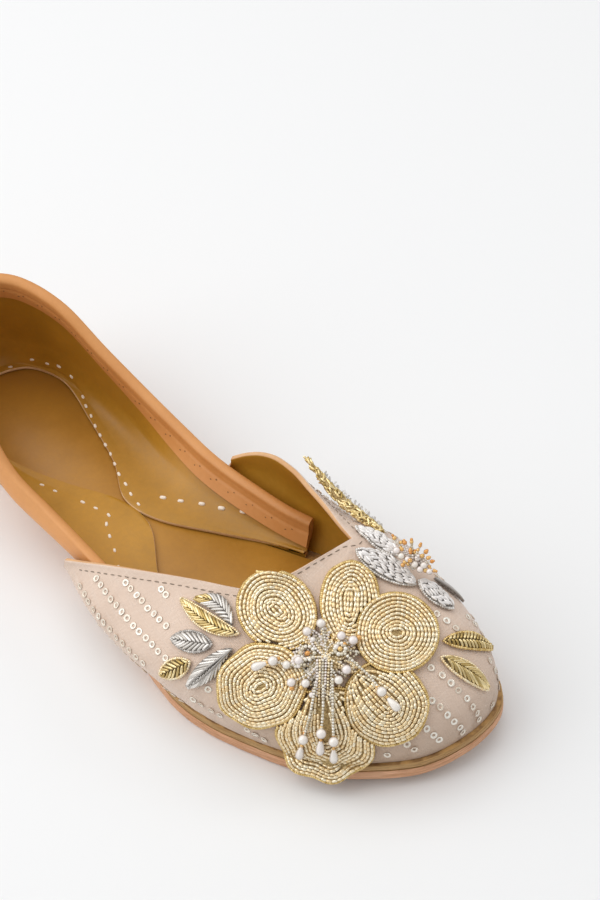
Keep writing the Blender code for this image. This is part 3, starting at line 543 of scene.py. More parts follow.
def finishMesh(bm, name, *materials, sharp=60):
    bmesh.ops.remove_doubles(bm, verts=bm.verts, dist=0.002)
    bmesh.ops.dissolve_degenerate(bm, edges=bm.edges, dist=0.0005)
    bmesh.ops.recalc_face_normals(bm, faces=bm.faces)
    for vert in bm.verts:
        vert.co = (vert.co - Vector(boxCentre)) * mm
    mesh = meshOf(bm, name)
    for material in materials:
        mesh.materials.append(finishes[material])
    mesh.set_sharp_from_angle(angle=radians(sharp))
    return linked(name, mesh)


def keep(obj, slot, *nodes):      # the finished piece rides with the shoe and stands for its nodes
    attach(obj, "root")
    if nodes:
        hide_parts(*nodes)
    print(f"  {obj.name}: {sum(len(p.vertices) - 2 for p in obj.data.polygons)} triangles")


# The layers of the sole. A ring is an inset from the edge and a height.
soleLooks = {
    "outsole": Look(wobble=0.12, rings=((1.3, 0.0), (0.75, 0.12), (0.35, 0.45), (0.12, 1.0),
                                        (0.0, 2.0), (0.0, 3.4), (0.05, 4.2), (0.35, 4.6))),
    "midsole": Look(wobble=0.10, rings=((0.7, midsoleZ), (0.3, midsoleZ + 0.35),
                                        (0.2, midsoleZ + 1.1), (0.3, midsoleZ + 1.9),
                                        (0.8, midsoleZ + 2.3))),
    "insole": Look(wobble=0.0, rings=((0.0, upperZ), (0.0, insoleTop - 0.3), (0.3, insoleTop))),
}
insoleInset = Table(
    "place inset",
    (0, 3.4), (4, 3.4), (6, 5.3), (7, 6.3), (8, 6.6), (10, 6.6), (11, 5.2), (16, 5.0),
    (18, 5.8), (20, 5.6), (24, 4.8), (25.5, 6.4), (26.5, 7.5), (27.5, 7.4), (29, 6.6),
    (30, 5.4), (32, 3.4), (36, 3.4),
)


def makeSoleLayer(name, *materials):
    look = soleLooks[name]
    count = 36 * shoe.steps
    places = np.arange(count) / shoe.steps
    run = runOf(np.array([soleEdge(p)[0] for p in np.append(places, 36)]))
    shake = random.Random(5)
    waves = [(shake.uniform(9, 40), shake.uniform(0, 6.28)) for _ in range(5)]
    grid = []
    for k, place in enumerate(places):
        own = insoleInset.at(place).inset if name == "insole" else 0
        wave = sum(sin(round(run[-1] / size) * 2 * pi * run[k] / run[-1] + phase)
                   for size, phase in waves) * look.wobble / 4
        grid.append([edgePoint(place, inset + own + wave + look.wobble / 2, height)
                     for inset, height in look.rings])
    bm = bmesh.new()
    verts = addGrid(bm, grid, uv=lambda i, j: (run[i], look.rings[j][1]), ring=True)
    for row, slot in ((0, 1), (len(look.rings) - 1, 2)):
        for k in range(count // 2):
            corners = [verts[i % count][row] for i in (k, k + 1, count - k - 1, count - k)]
            corners = list(dict.fromkeys(corners))
            if len(corners) > 2:
                face = bm.faces.new(corners)
                face.material_index = slot
                face.smooth = True
    return finishMesh(bm, name, *materials, sharp=50)


for name, slot, *materials in (
        ("outsole", "outsole_leather", "outsoleEdge", "outsoleUnder", "midsoleEdge"),
        ("midsole", "midsole_leather", "midsoleEdge", "midsoleEdge", "midsoleTop"),
        ("insole", "lining_leather", "insoleBrown", "insoleBrown", "insoleBrown")):
    keep(makeSoleLayer(name, *materials), slot, name)
print("sole made")

# The vamp: silk outside, leather lining inside, puckers where the silk is drawn in at the sole
vampLook = Look(ends=(7.0, 29.0), point=(14.0, 24.0), wall=1.9, columns=265, rows=46, rim=0.5,
                lip=((0.2, 0.7), (0.5, 1.0), (0.8, 0.7)), pucker=0.55, puckerReach=0.24,
                puckerFoot=0.035, puckerSizes=(5.5, 7.9, 11.3), drifts=((2.2, 23), (1.4, 11)),
                patchy=(0.55, 0.45, 31))


def vampSection(place):
    row = vampTable.at(place)
    if vampLook.point[0] <= place <= vampLook.point[1]:
        row.x, row.y, row.z = throatPoint
    foot = edgePoint(place, row.inset, upperZ)
    top = np.array([row.x, row.y, row.z])
    toward = soleEdge(place)[1] * (1 - row.turn) + unit(top[:2] - foot[:2]) * row.turn
    toward = np.array([*unit(toward), 0])
    rise = radians(row.rise)
    tangent = toward * cos(rise) + upward * sin(rise)
    wall = foot + outwardAt(place) * row.bulge + upward * row.fullness * (row.z - foot[2])
    return bezier((foot, wall, top - tangent * row.crown * np.linalg.norm(top - foot), top))


def vampSheets():
    places = np.linspace(*vampLook.ends, vampLook.columns)
    outer = np.array([evenly(vampSection(place), vampLook.rows) for place in places])
    normals = sheetNormals(outer)
    point = (places >= vampLook.point[0] - 1e-6) & (places <= vampLook.point[1] + 1e-6)
    normals[point, -1] = unit(normals[point][:, -3].mean(axis=0))
    inner = outer - normals * vampLook.wall
    for column, place in enumerate(places):
        inner[column, 0] = edgePoint(place, vampTable.at(place).inset + vampLook.wall, upperZ)
    return places, outer, inner, normals


vampPlaces, vampOuter, vampInner, vampNormals = vampSheets()


# Lay the silk out flat, as it was cut, so that its weave and its rows of sequins run straight
def unrolled(grid):
    bm = bmesh.new()
    addGrid(bm, grid)
    mesh = meshOf(bm, "pattern")
    pattern = linked("pattern", mesh)
    bpy.ops.object.select_all(action="DESELECT")
    bpy.context.view_layer.objects.active = pattern
    pattern.select_set(True)
    bpy.ops.object.mode_set(mode="EDIT")
    bpy.ops.mesh.select_all(action="SELECT")
    bpy.ops.uv.unwrap(method="ANGLE_BASED", margin=0.0)
    bpy.ops.object.mode_set(mode="OBJECT")
    flat = np.zeros((len(mesh.vertices), 2))
    for loop, corner in zip(mesh.loops, mesh.uv_layers[0].data):
        flat[loop.vertex_index] = corner.uv
    bpy.data.objects.remove(pattern)
    flat = flat.reshape(*grid.shape[:2], 2)
    level = vampNormals[..., 2] > 0.8
    level[:, -3:] = False
    known = np.column_stack([flat[level], np.ones(level.sum())])
    turn, *_ = np.linalg.lstsq(known, grid[level][:, :2], rcond=None)
    return flat @ turn[:2] + turn[2]


vampFlat = unrolled(vampOuter)
flatLow, flatHigh = vampFlat.reshape(-1, 2).min(0), vampFlat.reshape(-1, 2).max(0)
print("silk laid out,", flatLow.round(1), flatHigh.round(1))


def makeVamp():
    look = vampLook
    run = runOf(vampOuter[:, 2])
    shares = np.linspace(0, 1, look.rows)
    fade = np.exp(-(shares / look.puckerReach) ** 2 * 2.2)
    fade *= np.clip(shares / look.puckerFoot, 0, 1)
    shake = random.Random(11)
    phases = [shake.uniform(0, 6.28) for _ in range(6)]
    least, more, length = look.patchy
    outer = vampOuter.copy()
    for c, s in enumerate(run):
        drift = sum(wide * sin(s / far + phase) for (wide, far), phase in zip(look.drifts, phases[3:]))
        wave = sum(sin(2 * pi * (s + drift) / size + phase)
                   for size, phase in zip(look.puckerSizes, phases)) / 3
        strength = least + more * sin(s / length + phases[5])
        outer[c] += vampNormals[c] * (fade * wave * strength * look.pucker)[:, None]
    tangent = outer[:, -1] - outer[:, -2]
    tangent /= np.linalg.norm(tangent, axis=1, keepdims=True)
    lip = [outer[:, -1] * (1 - share) + vampInner[:, -1] * share + tangent * look.rim * out
           for share, out in look.lip]
    grid = np.concatenate([outer, np.stack(lip, axis=1), vampInner[:, ::-1]], axis=1)
    flat = np.concatenate([vampFlat, *[vampFlat[:, -1:]] * 3, vampFlat[:, ::-1], vampFlat[:, :1]],
                          axis=1)
    bm = bmesh.new()
    verts = addGrid(bm, grid, uv=lambda i, j: flat[i, j], loop=True,
                    slots=[0] * look.rows + [1] * 3 + [2] * look.rows)
    for column in (verts[0], verts[-1]):
        for r in range(len(column) // 2 - 1):
            face = bm.faces.new((column[r], column[r + 1], column[-2 - r], column[-1 - r]))
            face.material_index = 1
    return finishMesh(bm, "vamp", "blushSilk", "cutEdge", "liningBrown", sharp=70)


keep(makeVamp(), "silk", "vamp")
print("vamp made")

# The quarter: the wall round the heel, with its lining turned in over the insole
quarterLook = Look(ends=(26.6, 45.6), wall=1.6, wallRows=16, tuckAt=0.4, bulgeAt=0.3, topUp=0.3,
                   knee=0.9, kneeIn=1.2, kneeShare=0.65, cornerShare=0.1, turnRows=22,
                   lip=((0.25, 0.35), (0.15, 0.8)), smoothing=40)


def quarterSheets():
    first, last = quarterLook.ends
    places = np.linspace(first, last, int(round((last - first) * shoe.steps)) + 1)
    outer = []
    for place in places:
        row = quarterTable.at(place)
        foot, top = edgePoint(place, row.inset, upperZ), np.array([row.x, row.y, row.z])
        outward, height = outwardAt(place), row.z - foot[2]
        curve = bezier((top, top + outward * row.tuck - upward * quarterLook.tuckAt * height,
                        foot + outward * row.bulge + upward * quarterLook.bulgeAt * height, foot))
        outer.append(evenly(curve, quarterLook.wallRows))
    outer = np.array(outer)
    normals = sheetNormals(outer[:, ::-1])[:, ::-1]
    return places, outer, outer - normals * quarterLook.wall, normals


quarterPlaces, quarterOuter, quarterInner, quarterNormals = quarterSheets()


def stripMesh(name, grid, run, endSlot, materials, slots=None):      # closed all round, and at its ends
    heights = runOf(grid[len(grid) // 2])
    heights = np.append(heights, heights[-1] + 1)
    bm = bmesh.new()
    verts = addGrid(bm, grid, uv=lambda i, j: (run[i], heights[j]), loop=True, slots=slots)
    for column in (verts[0], verts[-1]):
        bm.faces.new(column).material_index = endSlot
    return finishMesh(bm, name, *materials)


def makeQuarter():
    look, thick = quarterLook, shoe.flangeThick
    wall, rows = look.wall, look.wallRows
    grid = []
    for place, out, inn in zip(quarterPlaces, quarterOuter, quarterInner):
        row = quarterTable.at(place)
        footIn = edgePoint(place, row.inset + wall, upperZ)
        under = edgePoint(place, row.inset + wall, flangeTop - thick)
        cut = np.array([row.edgeX, row.edgeY, 0])
        corner = edgePoint(place, row.inset + wall + look.kneeIn, 0)
        rise = liftAt(corner[1])
        corner = corner + (cut - corner) * look.cornerShare
        knee = inn[-3] * (1 - look.kneeShare) + corner * look.kneeShare
        knee[2] = flangeTop + rise + look.knee
        corner[2] = flangeTop + rise
        middle = (corner + cut) / 2
        for point in (middle, cut):
            point[2] = flangeTop + liftAt(point[1])
        turn = smoothPath([inn[-4], inn[-3], knee, corner, middle, cut], 1.0)
        back = unit(cut - middle)
        lip = [cut + back * ahead - upward * thick * down for ahead, down in look.lip]
        grid.append([*out[::-1], (out[0] + inn[0]) / 2 + upward * look.topUp, *inn[:-3],
                     *evenly(turn, look.turnRows)[1:], *lip, cut - upward * thick,
                     middle - upward * thick, under, footIn])
    grid = np.array(grid)
    total = grid.shape[1]
    inside = total - rows - 6
    low, high = 2 * rows - 3, inside + rows - 7      # from the wall's foot to the flange's flat part
    for _ in range(look.smoothing):
        calm = grid[1:-1, low:high] * 2 + grid[2:, low:high] + grid[:-2, low:high]
        calm += grid[1:-1, low + 1:high + 1] * 2 + grid[1:-1, low - 1:high - 1] * 2
        grid[1:-1, low:high] = calm / 8
    slots = [0] * rows + [1] * (inside - 1) + [2] * 3 + [1] * total
    return stripMesh("quarter", grid, runOf(quarterOuter[:, rows // 2]), 2,
                     ("outsideTan", "liningBrown", "liningEdge"), slots)


quarter = makeQuarter()
keep(quarter, "quarter_leather", "quarter")

# The binding: a strip folded over the quarter's top edge, with a shallow crease inside
bindingLook = Look(outside=7.5, inside=8.8, gap=0.3, thick=0.9, crease=3.4, creaseDeep=0.28,
                   creaseWide=0.55, pillow=0.22, edge=0.5, outsideRows=9, insideRows=14,
                   roll=(10, 35, 60, 90, 120, 145, 170), rollUp=0.2, hem=(0.5, 0.35))


def makeBinding():
    look = bindingLook
    near, far = look.gap, look.gap + look.thick

    def side(wall, away, deep, count, groove):      # the strip's face, hem and back, from the top down
        depths = np.linspace(look.edge, deep, count)
        points, away = resample(wall, depths), resample(wall, depths, away)
        pillow = np.sin(np.clip((depths - look.edge) / (deep - look.edge), 0, 1) * pi) * look.pillow
        crease = np.exp(-((depths - look.crease) / look.creaseWide) ** 2) * groove
        face = points + away * (far + pillow - crease)[:, None]
        hem = face[-1] - away[-1] * look.hem[0] + (face[-1] - face[-2]) * look.hem[1]
        return face, hem, points + away * near

    grid = []
    for out, inn, normals in zip(quarterOuter, quarterInner, quarterNormals):
        outside, hemOut, backOut = side(out, normals, look.outside, look.outsideRows, 0.0)
        inside, hemIn, backIn = side(inn, -normals, look.inside, look.insideRows, look.creaseDeep)
        middle = (out[0] + inn[0]) / 2
        reach = quarterLook.wall / 2 + far
        over = [middle + normals[0] * reach * cos(a) + upward * (look.rollUp + far * sin(a))
                for a in np.radians(look.roll)]
        grid.append([*outside[::-1], *over, *inside, hemIn, *backIn[::-3], middle + upward * near,
                     *backOut[::3], hemOut])
    return stripMesh("collar_binding", np.array(grid), runOf(quarterOuter[:, 0]), 1,
                     ("bindingTan", "cutEdge"))


binding = makeBinding()
print("quarter and binding made")

# Shapes turned round Z and repeated by the node trees: heights along Z with their radii. A
# ring's outline is closed, and the others are shut at both ends.
beadShapes = {
    "tubeBead": Look(sides=8, profile=((-0.87, 0.34), (-0.72, 0.53), (0.72, 0.53), (0.87, 0.34))),
    "seedBead": Look(sides=8, profile=((-0.40, 0.22), (-0.24, 0.46), (0.24, 0.46), (0.40, 0.22))),
    "pearlBead": Look(sides=16, profile=tuple((-cos(a), sin(a))
                                              for a in np.linspace(0.12, pi - 0.12, 10))),
    "dropBead": Look(sides=14, profile=((-2.3, 0.3), (-1.8, 0.6), (-0.8, 0.95), (0.3, 1.2),
                                        (1.2, 1.25), (1.9, 0.9), (2.25, 0.35))),
    "sequinRing": Look(sides=12, ring=True, profile=((0.0, 0.46), (0.13, 0.56), (0.30, 1.16),
                                                     (0.22, 1.26), (0.06, 1.14), (-0.08, 0.58))),
    "stitchBar": Look(sides=8, profile=((-1.0, 0.16), (-0.82, 0.40), (-0.4, 0.5), (0.4, 0.5),
                                        (0.82, 0.40), (1.0, 0.16))),
    "needleDisc": Look(sides=8, profile=((-0.05, 0.34), (0.05, 0.30))),
}


def turnedShape(name, sides, profile, ring=False):
    grid = [[(cos(a) * r, sin(a) * r, z) for z, r in profile] for a in turns(sides)]
    bm = bmesh.new()
    verts = addGrid(bm, grid, ring=True, loop=ring)
    if not ring:
        capRows(bm, verts)
    bmesh.ops.recalc_face_normals(bm, faces=bm.faces)
    bmesh.ops.scale(bm, vec=(mm, mm, mm), verts=bm.verts)
    return linked(name, meshOf(bm, name))


beads = {name: turnedShape(name, **look) for name, look in beadShapes.items()}


def startTree(name, **kinds):
    tree = bpy.data.node_groups.new(name, "GeometryNodeTree")
    for label, kind in kinds.items():
        tree.interface.new_socket(name=label, in_out="INPUT", socket_type="NodeSocket" + kind)
    tree.interface.new_socket(name="Geometry", in_out="OUTPUT", socket_type="NodeSocketGeometry")
    return Wire(tree).node("NodeGroupInput", output="Geometry")


def endTree(shape, finish):
    real = shape.node("GeometryNodeRealizeInstances", {"Geometry": shape})
    done = shape.node("GeometryNodeSetMaterial", {"Geometry": real, "Material": finish})
    shape.tree.links.new(done.socket, shape.tree.nodes.new("NodeGroupOutput").inputs[0])
    return shape.tree


def stored(wire, name, kind="FLOAT_VECTOR"):
    return wire.node("GeometryNodeInputNamedAttribute", {"Name": name}, data_type=kind)


# Beads in rows along guide lines, or one at each guide point, each turned a little by chance
def beadTree(name, along):
    given = startTree(name, Geometry="Geometry", Bead="Object", Pitch="Float", Tilt="Float",
                      Vary="Float", Seed="Int", Finish="Material")
    seed, vary = given.other("Seed"), given.other("Vary")
    points, aim = given, stored(given, "aim")
    if along:
        curve = given.node("GeometryNodeMeshToCurve", {"Mesh": given})
        points = given.node("GeometryNodeResampleCurve",
                            {"Curve": curve, "Length": given.other("Pitch")}, mode="LENGTH")
        aim = given.node("GeometryNodeInputTangent")

    def chance(low, high, more):
        return given.node("FunctionNodeRandomValue", {2: low, 3: high, "Seed": seed + more}, 1,
                          data_type="FLOAT")

    turn = given.node("FunctionNodeAxesToRotation",
                      {"Primary Axis": aim, "Secondary Axis": stored(given, "up")},
                      primary_axis="Z", secondary_axis="X")
    shake = given.node("FunctionNodeRandomValue", {0: (-1, -1, -1), 1: (1, 1, 1), "Seed": seed},
                       data_type="FLOAT_VECTOR").scaled(given.other("Tilt"))
    shake = given.node("FunctionNodeEulerToRotation", {0: shake})
    turn = given.node("FunctionNodeRotateRotation", {"Rotation": turn, "Rotate By": shake},
                      rotation_space="LOCAL")
    shape = given.node("GeometryNodeObjectInfo", {"Object": given.other("Bead")}, "Geometry")
    placed = given.node("GeometryNodeInstanceOnPoints", {
        "Points": points, "Instance": shape, "Rotation": turn,
        "Scale": stored(given, "size").scaled(chance(1 - vary, 1 + vary, 1))})
    shaded = given.node("GeometryNodeStoreNamedAttribute",
                        {"Geometry": placed, "Name": "shade", "Value": chance(0.0, 1.0, 2)},
                        data_type="FLOAT", domain="INSTANCE")
    return endTree(shaded, given.other("Finish"))


# Wire laid along guide lines, as thick as each line says
def wireTree(name):
    given = startTree(name, Geometry="Geometry", Sides="Int", Finish="Material")
    curve = given.node("GeometryNodeMeshToCurve", {"Mesh": given})
    circle = given.node("GeometryNodeCurvePrimitiveCircle",
                        {"Resolution": given.other("Sides"), "Radius": 1.0})
    tube = given.node("GeometryNodeCurveToMesh", {
        "Curve": curve, "Profile Curve": circle, "Fill Caps": True,
        "Scale": stored(given, "girth", "FLOAT")})
    return endTree(tube, given.other("Finish"))


trees = {"rows": beadTree("beadsInRows", True), "single": beadTree("beadsAtPoints", False),
         "wires": wireTree("laidWire")}


# A guide line or point, in shoe millimetres. size is the bead's scale, girth a wire's radius.
def guide(points, closed=False, up=(0, 0, 1), aim=(0, 0, 1), size=1.0, girth=0.4, shade=0.5):
    points = np.atleast_2d(np.array(points, float))
    count = len(points)
    values = {name: np.broadcast_to(np.array(value, float), (count, 3))
              for name, value in (("up", up), ("aim", aim), ("size", size))}
    values |= {name: np.broadcast_to(np.array(value, float), (count,))
               for name, value in (("girth", np.array(girth) * mm), ("shade", shade))}
    return SimpleNamespace(points=points, closed=closed, count=count, values=values)


def grown(tree, guides, finish, **inputs):      # run a tree over its guides, as a plain mesh
    edges, first = [], 0
    for line in guides:
        edges += [(first + k, first + k + 1) for k in range(line.count - 1)]
        if line.closed:
            edges.append((first + line.count - 1, first))
        first += line.count
    mesh = bpy.data.meshes.new("guide")
    points = (np.concatenate([line.points for line in guides]) - boxCentre) * mm
    mesh.from_pydata(points.tolist(), [] if tree == "single" else edges, [])
    for name in guides[0].values:
        data = np.concatenate([line.values[name] for line in guides])
        kind, key = ("FLOAT_VECTOR", "vector") if data.ndim == 2 else ("FLOAT", "value")
        mesh.attributes.new(name, kind, "POINT").data.foreach_set(key, data.ravel())
    carrier = linked("guide", mesh)
    modifier = carrier.modifiers.new("grow", "NODES")
    modifier.node_group = trees[tree]
    inputs["Finish"] = finishes[finish]
    for item in trees[tree].interface.items_tree:
        if item.in_out == "INPUT" and item.name in inputs:
            modifier[item.identifier] = inputs[item.name]
    depsgraph = bpy.context.evaluated_depsgraph_get()
    made = bpy.data.meshes.new_from_object(carrier.evaluated_get(depsgraph),
                                           preserve_all_data_layers=True, depsgraph=depsgraph)
    bpy.data.objects.remove(carrier)
    if tree == "wires":
        made.shade_smooth()
    return linked(tree, made)


def beadRow(guides, bead, finish, pitch, tilt, vary, seed):
    return grown("rows", guides, finish, Bead=beads[bead], Pitch=pitch * mm, Tilt=tilt, Vary=vary,
                 Seed=seed)


def beadEach(guides, bead, finish, tilt, vary, seed):
    return grown("single", guides, finish, Bead=beads[bead], Tilt=tilt, Vary=vary, Seed=seed)


def laidWire(guides, finish, sides=7):
    return grown("wires", guides, finish, Sides=sides)


def joined(name, *parts):
    with bpy.context.temp_override(active_object=parts[0], object=parts[0],
                                   selected_objects=parts, selected_editable_objects=parts):
        bpy.ops.object.join()
    parts[0].name = parts[0].data.name = name
    return parts[0]


print("bead shapes and node trees made")


# The vamp's outside seen square to a plane. u is right and v up across it, in millimetres.
class Ground:
    skirt = ((-3.2, 1.0), (-1.6, 4.5), (-0.8, 7.5))      # insets and heights below the vamp

    def __init__(self, centre, facing):
        self.centre = Vector(centre)
        self.facing = Vector(facing).normalized()
        self.right = Vector((-self.facing.y, self.facing.x, 0)).normalized()
        self.up = self.facing.cross(self.right)
        points = []
        for place, column in zip(vampPlaces[::3], vampOuter[::3]):
            over = 8.0 * np.clip((vampLook.point[0] - place) / 1.4, 0, 1)
            points.append([*[edgePoint(place, *ring) for ring in self.skirt], *column,
                           column[-1] + unit(column[-1] - column[-2]) * over])
        rows = len(points[0])
        faces = [(c * rows + r, (c + 1) * rows + r, (c + 1) * rows + r + 1, c * rows + r + 1)
                 for c in range(len(points) - 1) for r in range(rows - 1)]
        self.tree = BVHTree.FromPolygons([Vector(p) for column in points for p in column], faces)

    def at(self, u, v, lift):
        start = self.centre + self.right * u + self.up * v + self.facing * 60
        hit = self.tree.ray_cast(start, -self.facing)[0]
        if hit is None:
            hit = self.tree.find_nearest(start - self.facing * 75)[0]
        return np.array(hit + self.facing * lift)

    def free(self, u, v, w):      # a point off the vamp, w in front of the plane
        return np.array(self.centre + self.right * u + self.up * v + self.facing * w)

    def seen(self, point):
        away = point - self.centre
        return away.dot(self.right), away.dot(self.up)


def rowsOf(names, *rows):
    return [SimpleNamespace(**dict(zip(names.split(), row))) for row in rows]


flower = Ground((12.4, 197.4, 37.4), (0.4585, 0.4765, 0.7501))
crest = Ground((-28.0, 192.0, 43.0), (-0.25, 0.35, 0.9))
motifLook = Look(lift=0.5, gap=0.6)

# The petals, the uppermost first. An open one has its rows of beads run to the flower's centre.
petalRows = rowsOf(
    "name u v heading out back wide ruffle lift open",
    ("flower_centre", 0, 0, 0, 5.2, 5.2, 5.2, 0, 0.5, False),
    ("gold_petal_3", 22.3, 7.2, -4, 13.7, 12.6, 12.2, 0, 0.5, False),
    ("gold_petal_6", -20.0, -9.6, 210, 14.8, 14, 13.2, 0.02, 1.0, False),
    ("gold_petal_4", 19.6, -15.4, -45, 12.6, 14.5, 12.7, 0.01, 0.5, True),
    ("gold_petal_1", -15.6, 14.3, 138, 13.0, 13.5, 11.6, 0, 0.5, False),
    ("gold_petal_2", 7.9, 17.9, 86, 11.4, 14.5, 9.2, 0.01, 0.5, False),
    ("gold_petal_5", 0.6, -25.8, -82, 14.6, 16, 15.4, 0.05, 1.2, True),
)
petalLook = Look(pad=1.5, dome=0.75, firstRing=0.75, ringPitch=1.13, beadPitch=1.78, wobble=0.16,
                 sink=0.22, cordPitch=0.72, steps=96, openLimits=(166, 126, 148, 120),
                 cords=((0.05, 1.65), (-0.1, 0.45)))


def onPetal(row, along, across):
    heading = radians(row.heading)
    return (row.u + along * cos(heading) - across * sin(heading),
            row.v + along * sin(heading) + across * cos(heading))


def petalEdge(row, angle, inset=0.0):
    reach = (row.out if cos(angle) > 0 else row.back) - inset
    wave = 1 + row.ruffle * cos(7 * angle)
    return cos(angle) * reach * wave, sin(angle) * (row.wide - inset) * wave


def covered(rows, u, v, gap):      # whether an upper petal hides this place
    for row in rows:
        heading = radians(row.heading)
        along = (u - row.u) * cos(heading) + (v - row.v) * sin(heading)
        across = (v - row.v) * cos(heading) - (u - row.u) * sin(heading)
        reach, wave = (row.out if along > 0 else row.back), 1 + row.ruffle
        if hypot(along / (reach * wave + gap), across / (row.wide * wave + gap)) < 1:
            return True
    return False


def trimmed(rows, centre, edge, steps=80):
    for step in range(1, steps + 1):
        if covered(rows, *(centre + (edge - centre) * step / steps), motifLook.gap):
            return centre + (edge - centre) * (step - 1) / steps
    return edge


def visibleRuns(rows, line, gap, closed):      # split a line of places where petals hide it
    shown = [not covered(rows, u, v, gap) for u, v, *_ in line]
    if all(shown):
        return [(line, closed)]
    start = next((k for k in range(len(line)) if not shown[k - 1] and shown[k]), 0) if closed else 0
    runs = [[]]
    for k in range(start, start + len(line)):
        if shown[k % len(line)]:
            runs[-1].append(line[k % len(line)])
        elif runs[-1]:
            runs.append([])
    return [(run, False) for run in runs if len(run) > 2]


# The cloth pad under a motif's beads. A layer is a share of the way to the edge and a height.
padLayers = ((0.02, 0.0), (0.5, 0.0), (0.97, 0.0), (1.0, 0.35), (1.0, 0.75), (0.96, 1.0),
             (0.85, 1.0), (0.65, 1.0), (0.4, 1.0), (0.02, 1.0))


def padPiece(ground, centre, outline, lift, thick, dome, material):
    centre = np.array(centre)
    grid = []
    for edge in outline:
        column = []
        for share, height in padLayers:
            rise = dome * (1 - share ** 2) if height == 1.0 else 0
            column.append(ground.at(*(centre + (edge - centre) * share),
                                    lift + height * thick + rise))
        grid.append(column)
    bm = bmesh.new()
    capRows(bm, addGrid(bm, np.array(grid), ring=True))
    return finishMesh(bm, "pad", material)


def petalLines(row, shake):      # the rows of beads of a petal, as places and heights
    look = petalLook
    phase = [shake.uniform(0, 6.28) for _ in range(2)]
    lines, inset, index = [], look.firstRing, 0
    while min(row.wide, row.out, row.back) - inset > 0.35:
        drift = [shake.uniform(-1, 1) * look.wobble for _ in range(2)]
        high = look.dome * (1 - (1 - inset / row.wide) ** 2)
        places = [petalEdge(row, a, inset) for a in turns(look.steps)]
        if row.open:      # rows that close up towards the flower's centre, some stopping early
            limit = radians(look.openLimits[index % 4])
            angles = np.linspace(limit, -limit, look.steps)
            places = [(cos(a) * (row.back - look.firstRing) if cos(a) < 0
                       else petalEdge(row, a, inset)[0], petalEdge(row, a, inset)[1]) for a in angles]
        line = []
        for along, across in places:
            angle = atan2(across, along)
            stir = look.wobble * (sin(3 * angle + phase[0] + index * 0.35)
                                  + 0.7 * sin(5 * angle + phase[1] - index * 0.3))
            scale = 1 + stir / max(hypot(along, across), 2.0)
            line.append((*onPetal(row, along * scale + drift[0], across * scale + drift[1]), high))
        lines.append((line, not row.open))
        inset += look.ringPitch
        index += 1
    return lines


def makePetal(index):
    row, over, look = petalRows[index], petalRows[:index], petalLook
    shake = random.Random(40 + index)
    centre = np.array([row.u, row.v])
    angles = turns(look.steps)
    outline = [trimmed(over, centre, np.array(onPetal(row, *petalEdge(row, a)))) for a in angles]
    pad = padPiece(flower, centre, outline, row.lift, look.pad, look.dome, "goldPad")
    rows, cords = [], []
    top = row.lift + look.pad + beadShapes["tubeBead"].profile[1][1] - look.sink
    for line, closed in petalLines(row, shake):
        for run, whole in visibleRuns(over, line, 0.5, closed):
            points = [flower.at(u, v, top + high) for u, v, high in run]
            if runOf(np.array(points))[-1] > 1.5 * look.beadPitch:
                rows.append(guide(points, whole, up=flower.facing))
    for inset, high in look.cords:
        line = [onPetal(row, *petalEdge(row, a, inset)) for a in angles]
        for run, whole in visibleRuns(over, line, 0.35, True):
            cords.append(guide([flower.at(u, v, row.lift + high) for u, v in run], whole,
                               up=flower.facing))
    rows = beadRow(rows, "tubeBead", "goldBead", look.beadPitch, 0.07, 0.05, index)
    cords = beadRow(cords, "seedBead", "goldCord", look.cordPitch, 0.25, 0.1, index)
    keep(joined(row.name, pad, rows, cords), "gold_bead", row.name)


for index in range(1, len(petalRows)):
    makePetal(index)
print("petals made")

# The flower's centre: strings of clear, pearl and gold seeds with pearls at their ends
centreLook = Look(
    thick=2.4, dome=1.2, pearl=1.55, pearlLift=4.2, lift=4.0, loose=12,
    pearls=((-1.4, 10.4), (-5.8, 7.9), (5.0, 6.6), (8.7, 5.2), (-12.3, -2.5), (-8.5, -1.1),
            (-10.8, -7.9), (-6.3, -8.1), (6.6, -3.8), (4.1, -7.0)),
    smallPearls=((-4.4, -11.7), (-4.0, 5.4), (3.4, 3.2)),
    amber=((-5.8, 1.1), (-10.6, -9.7), (-7.6, -9.5), (6.0, 4.0), (10.6, 6.0)),
    bundle=((-2.6, -1.0), (-2.9, -12.5), 6), filling=110, fillingReach=9.5,
    rings=(((-5.6, 1.2), 2.1, "clearBead", 61), ((-8.9, -1.4), 1.5, "pearl", 62),
           ((4.6, 2.6), 1.7, "clearBead", 63)))


def pointsOn(places, lifts):
    lifts = np.broadcast_to(lifts, (len(places),))
    return [flower.at(*place, motifLook.lift + lift) for place, lift in zip(places, lifts)]


def overFlower(places, lifts, size):
    return guide(pointsOn(places, lifts), up=flower.facing, size=size)


def pearlsAt(places, lift, size):
    return [guide(point, size=size) for point in pointsOn(places, lift)]


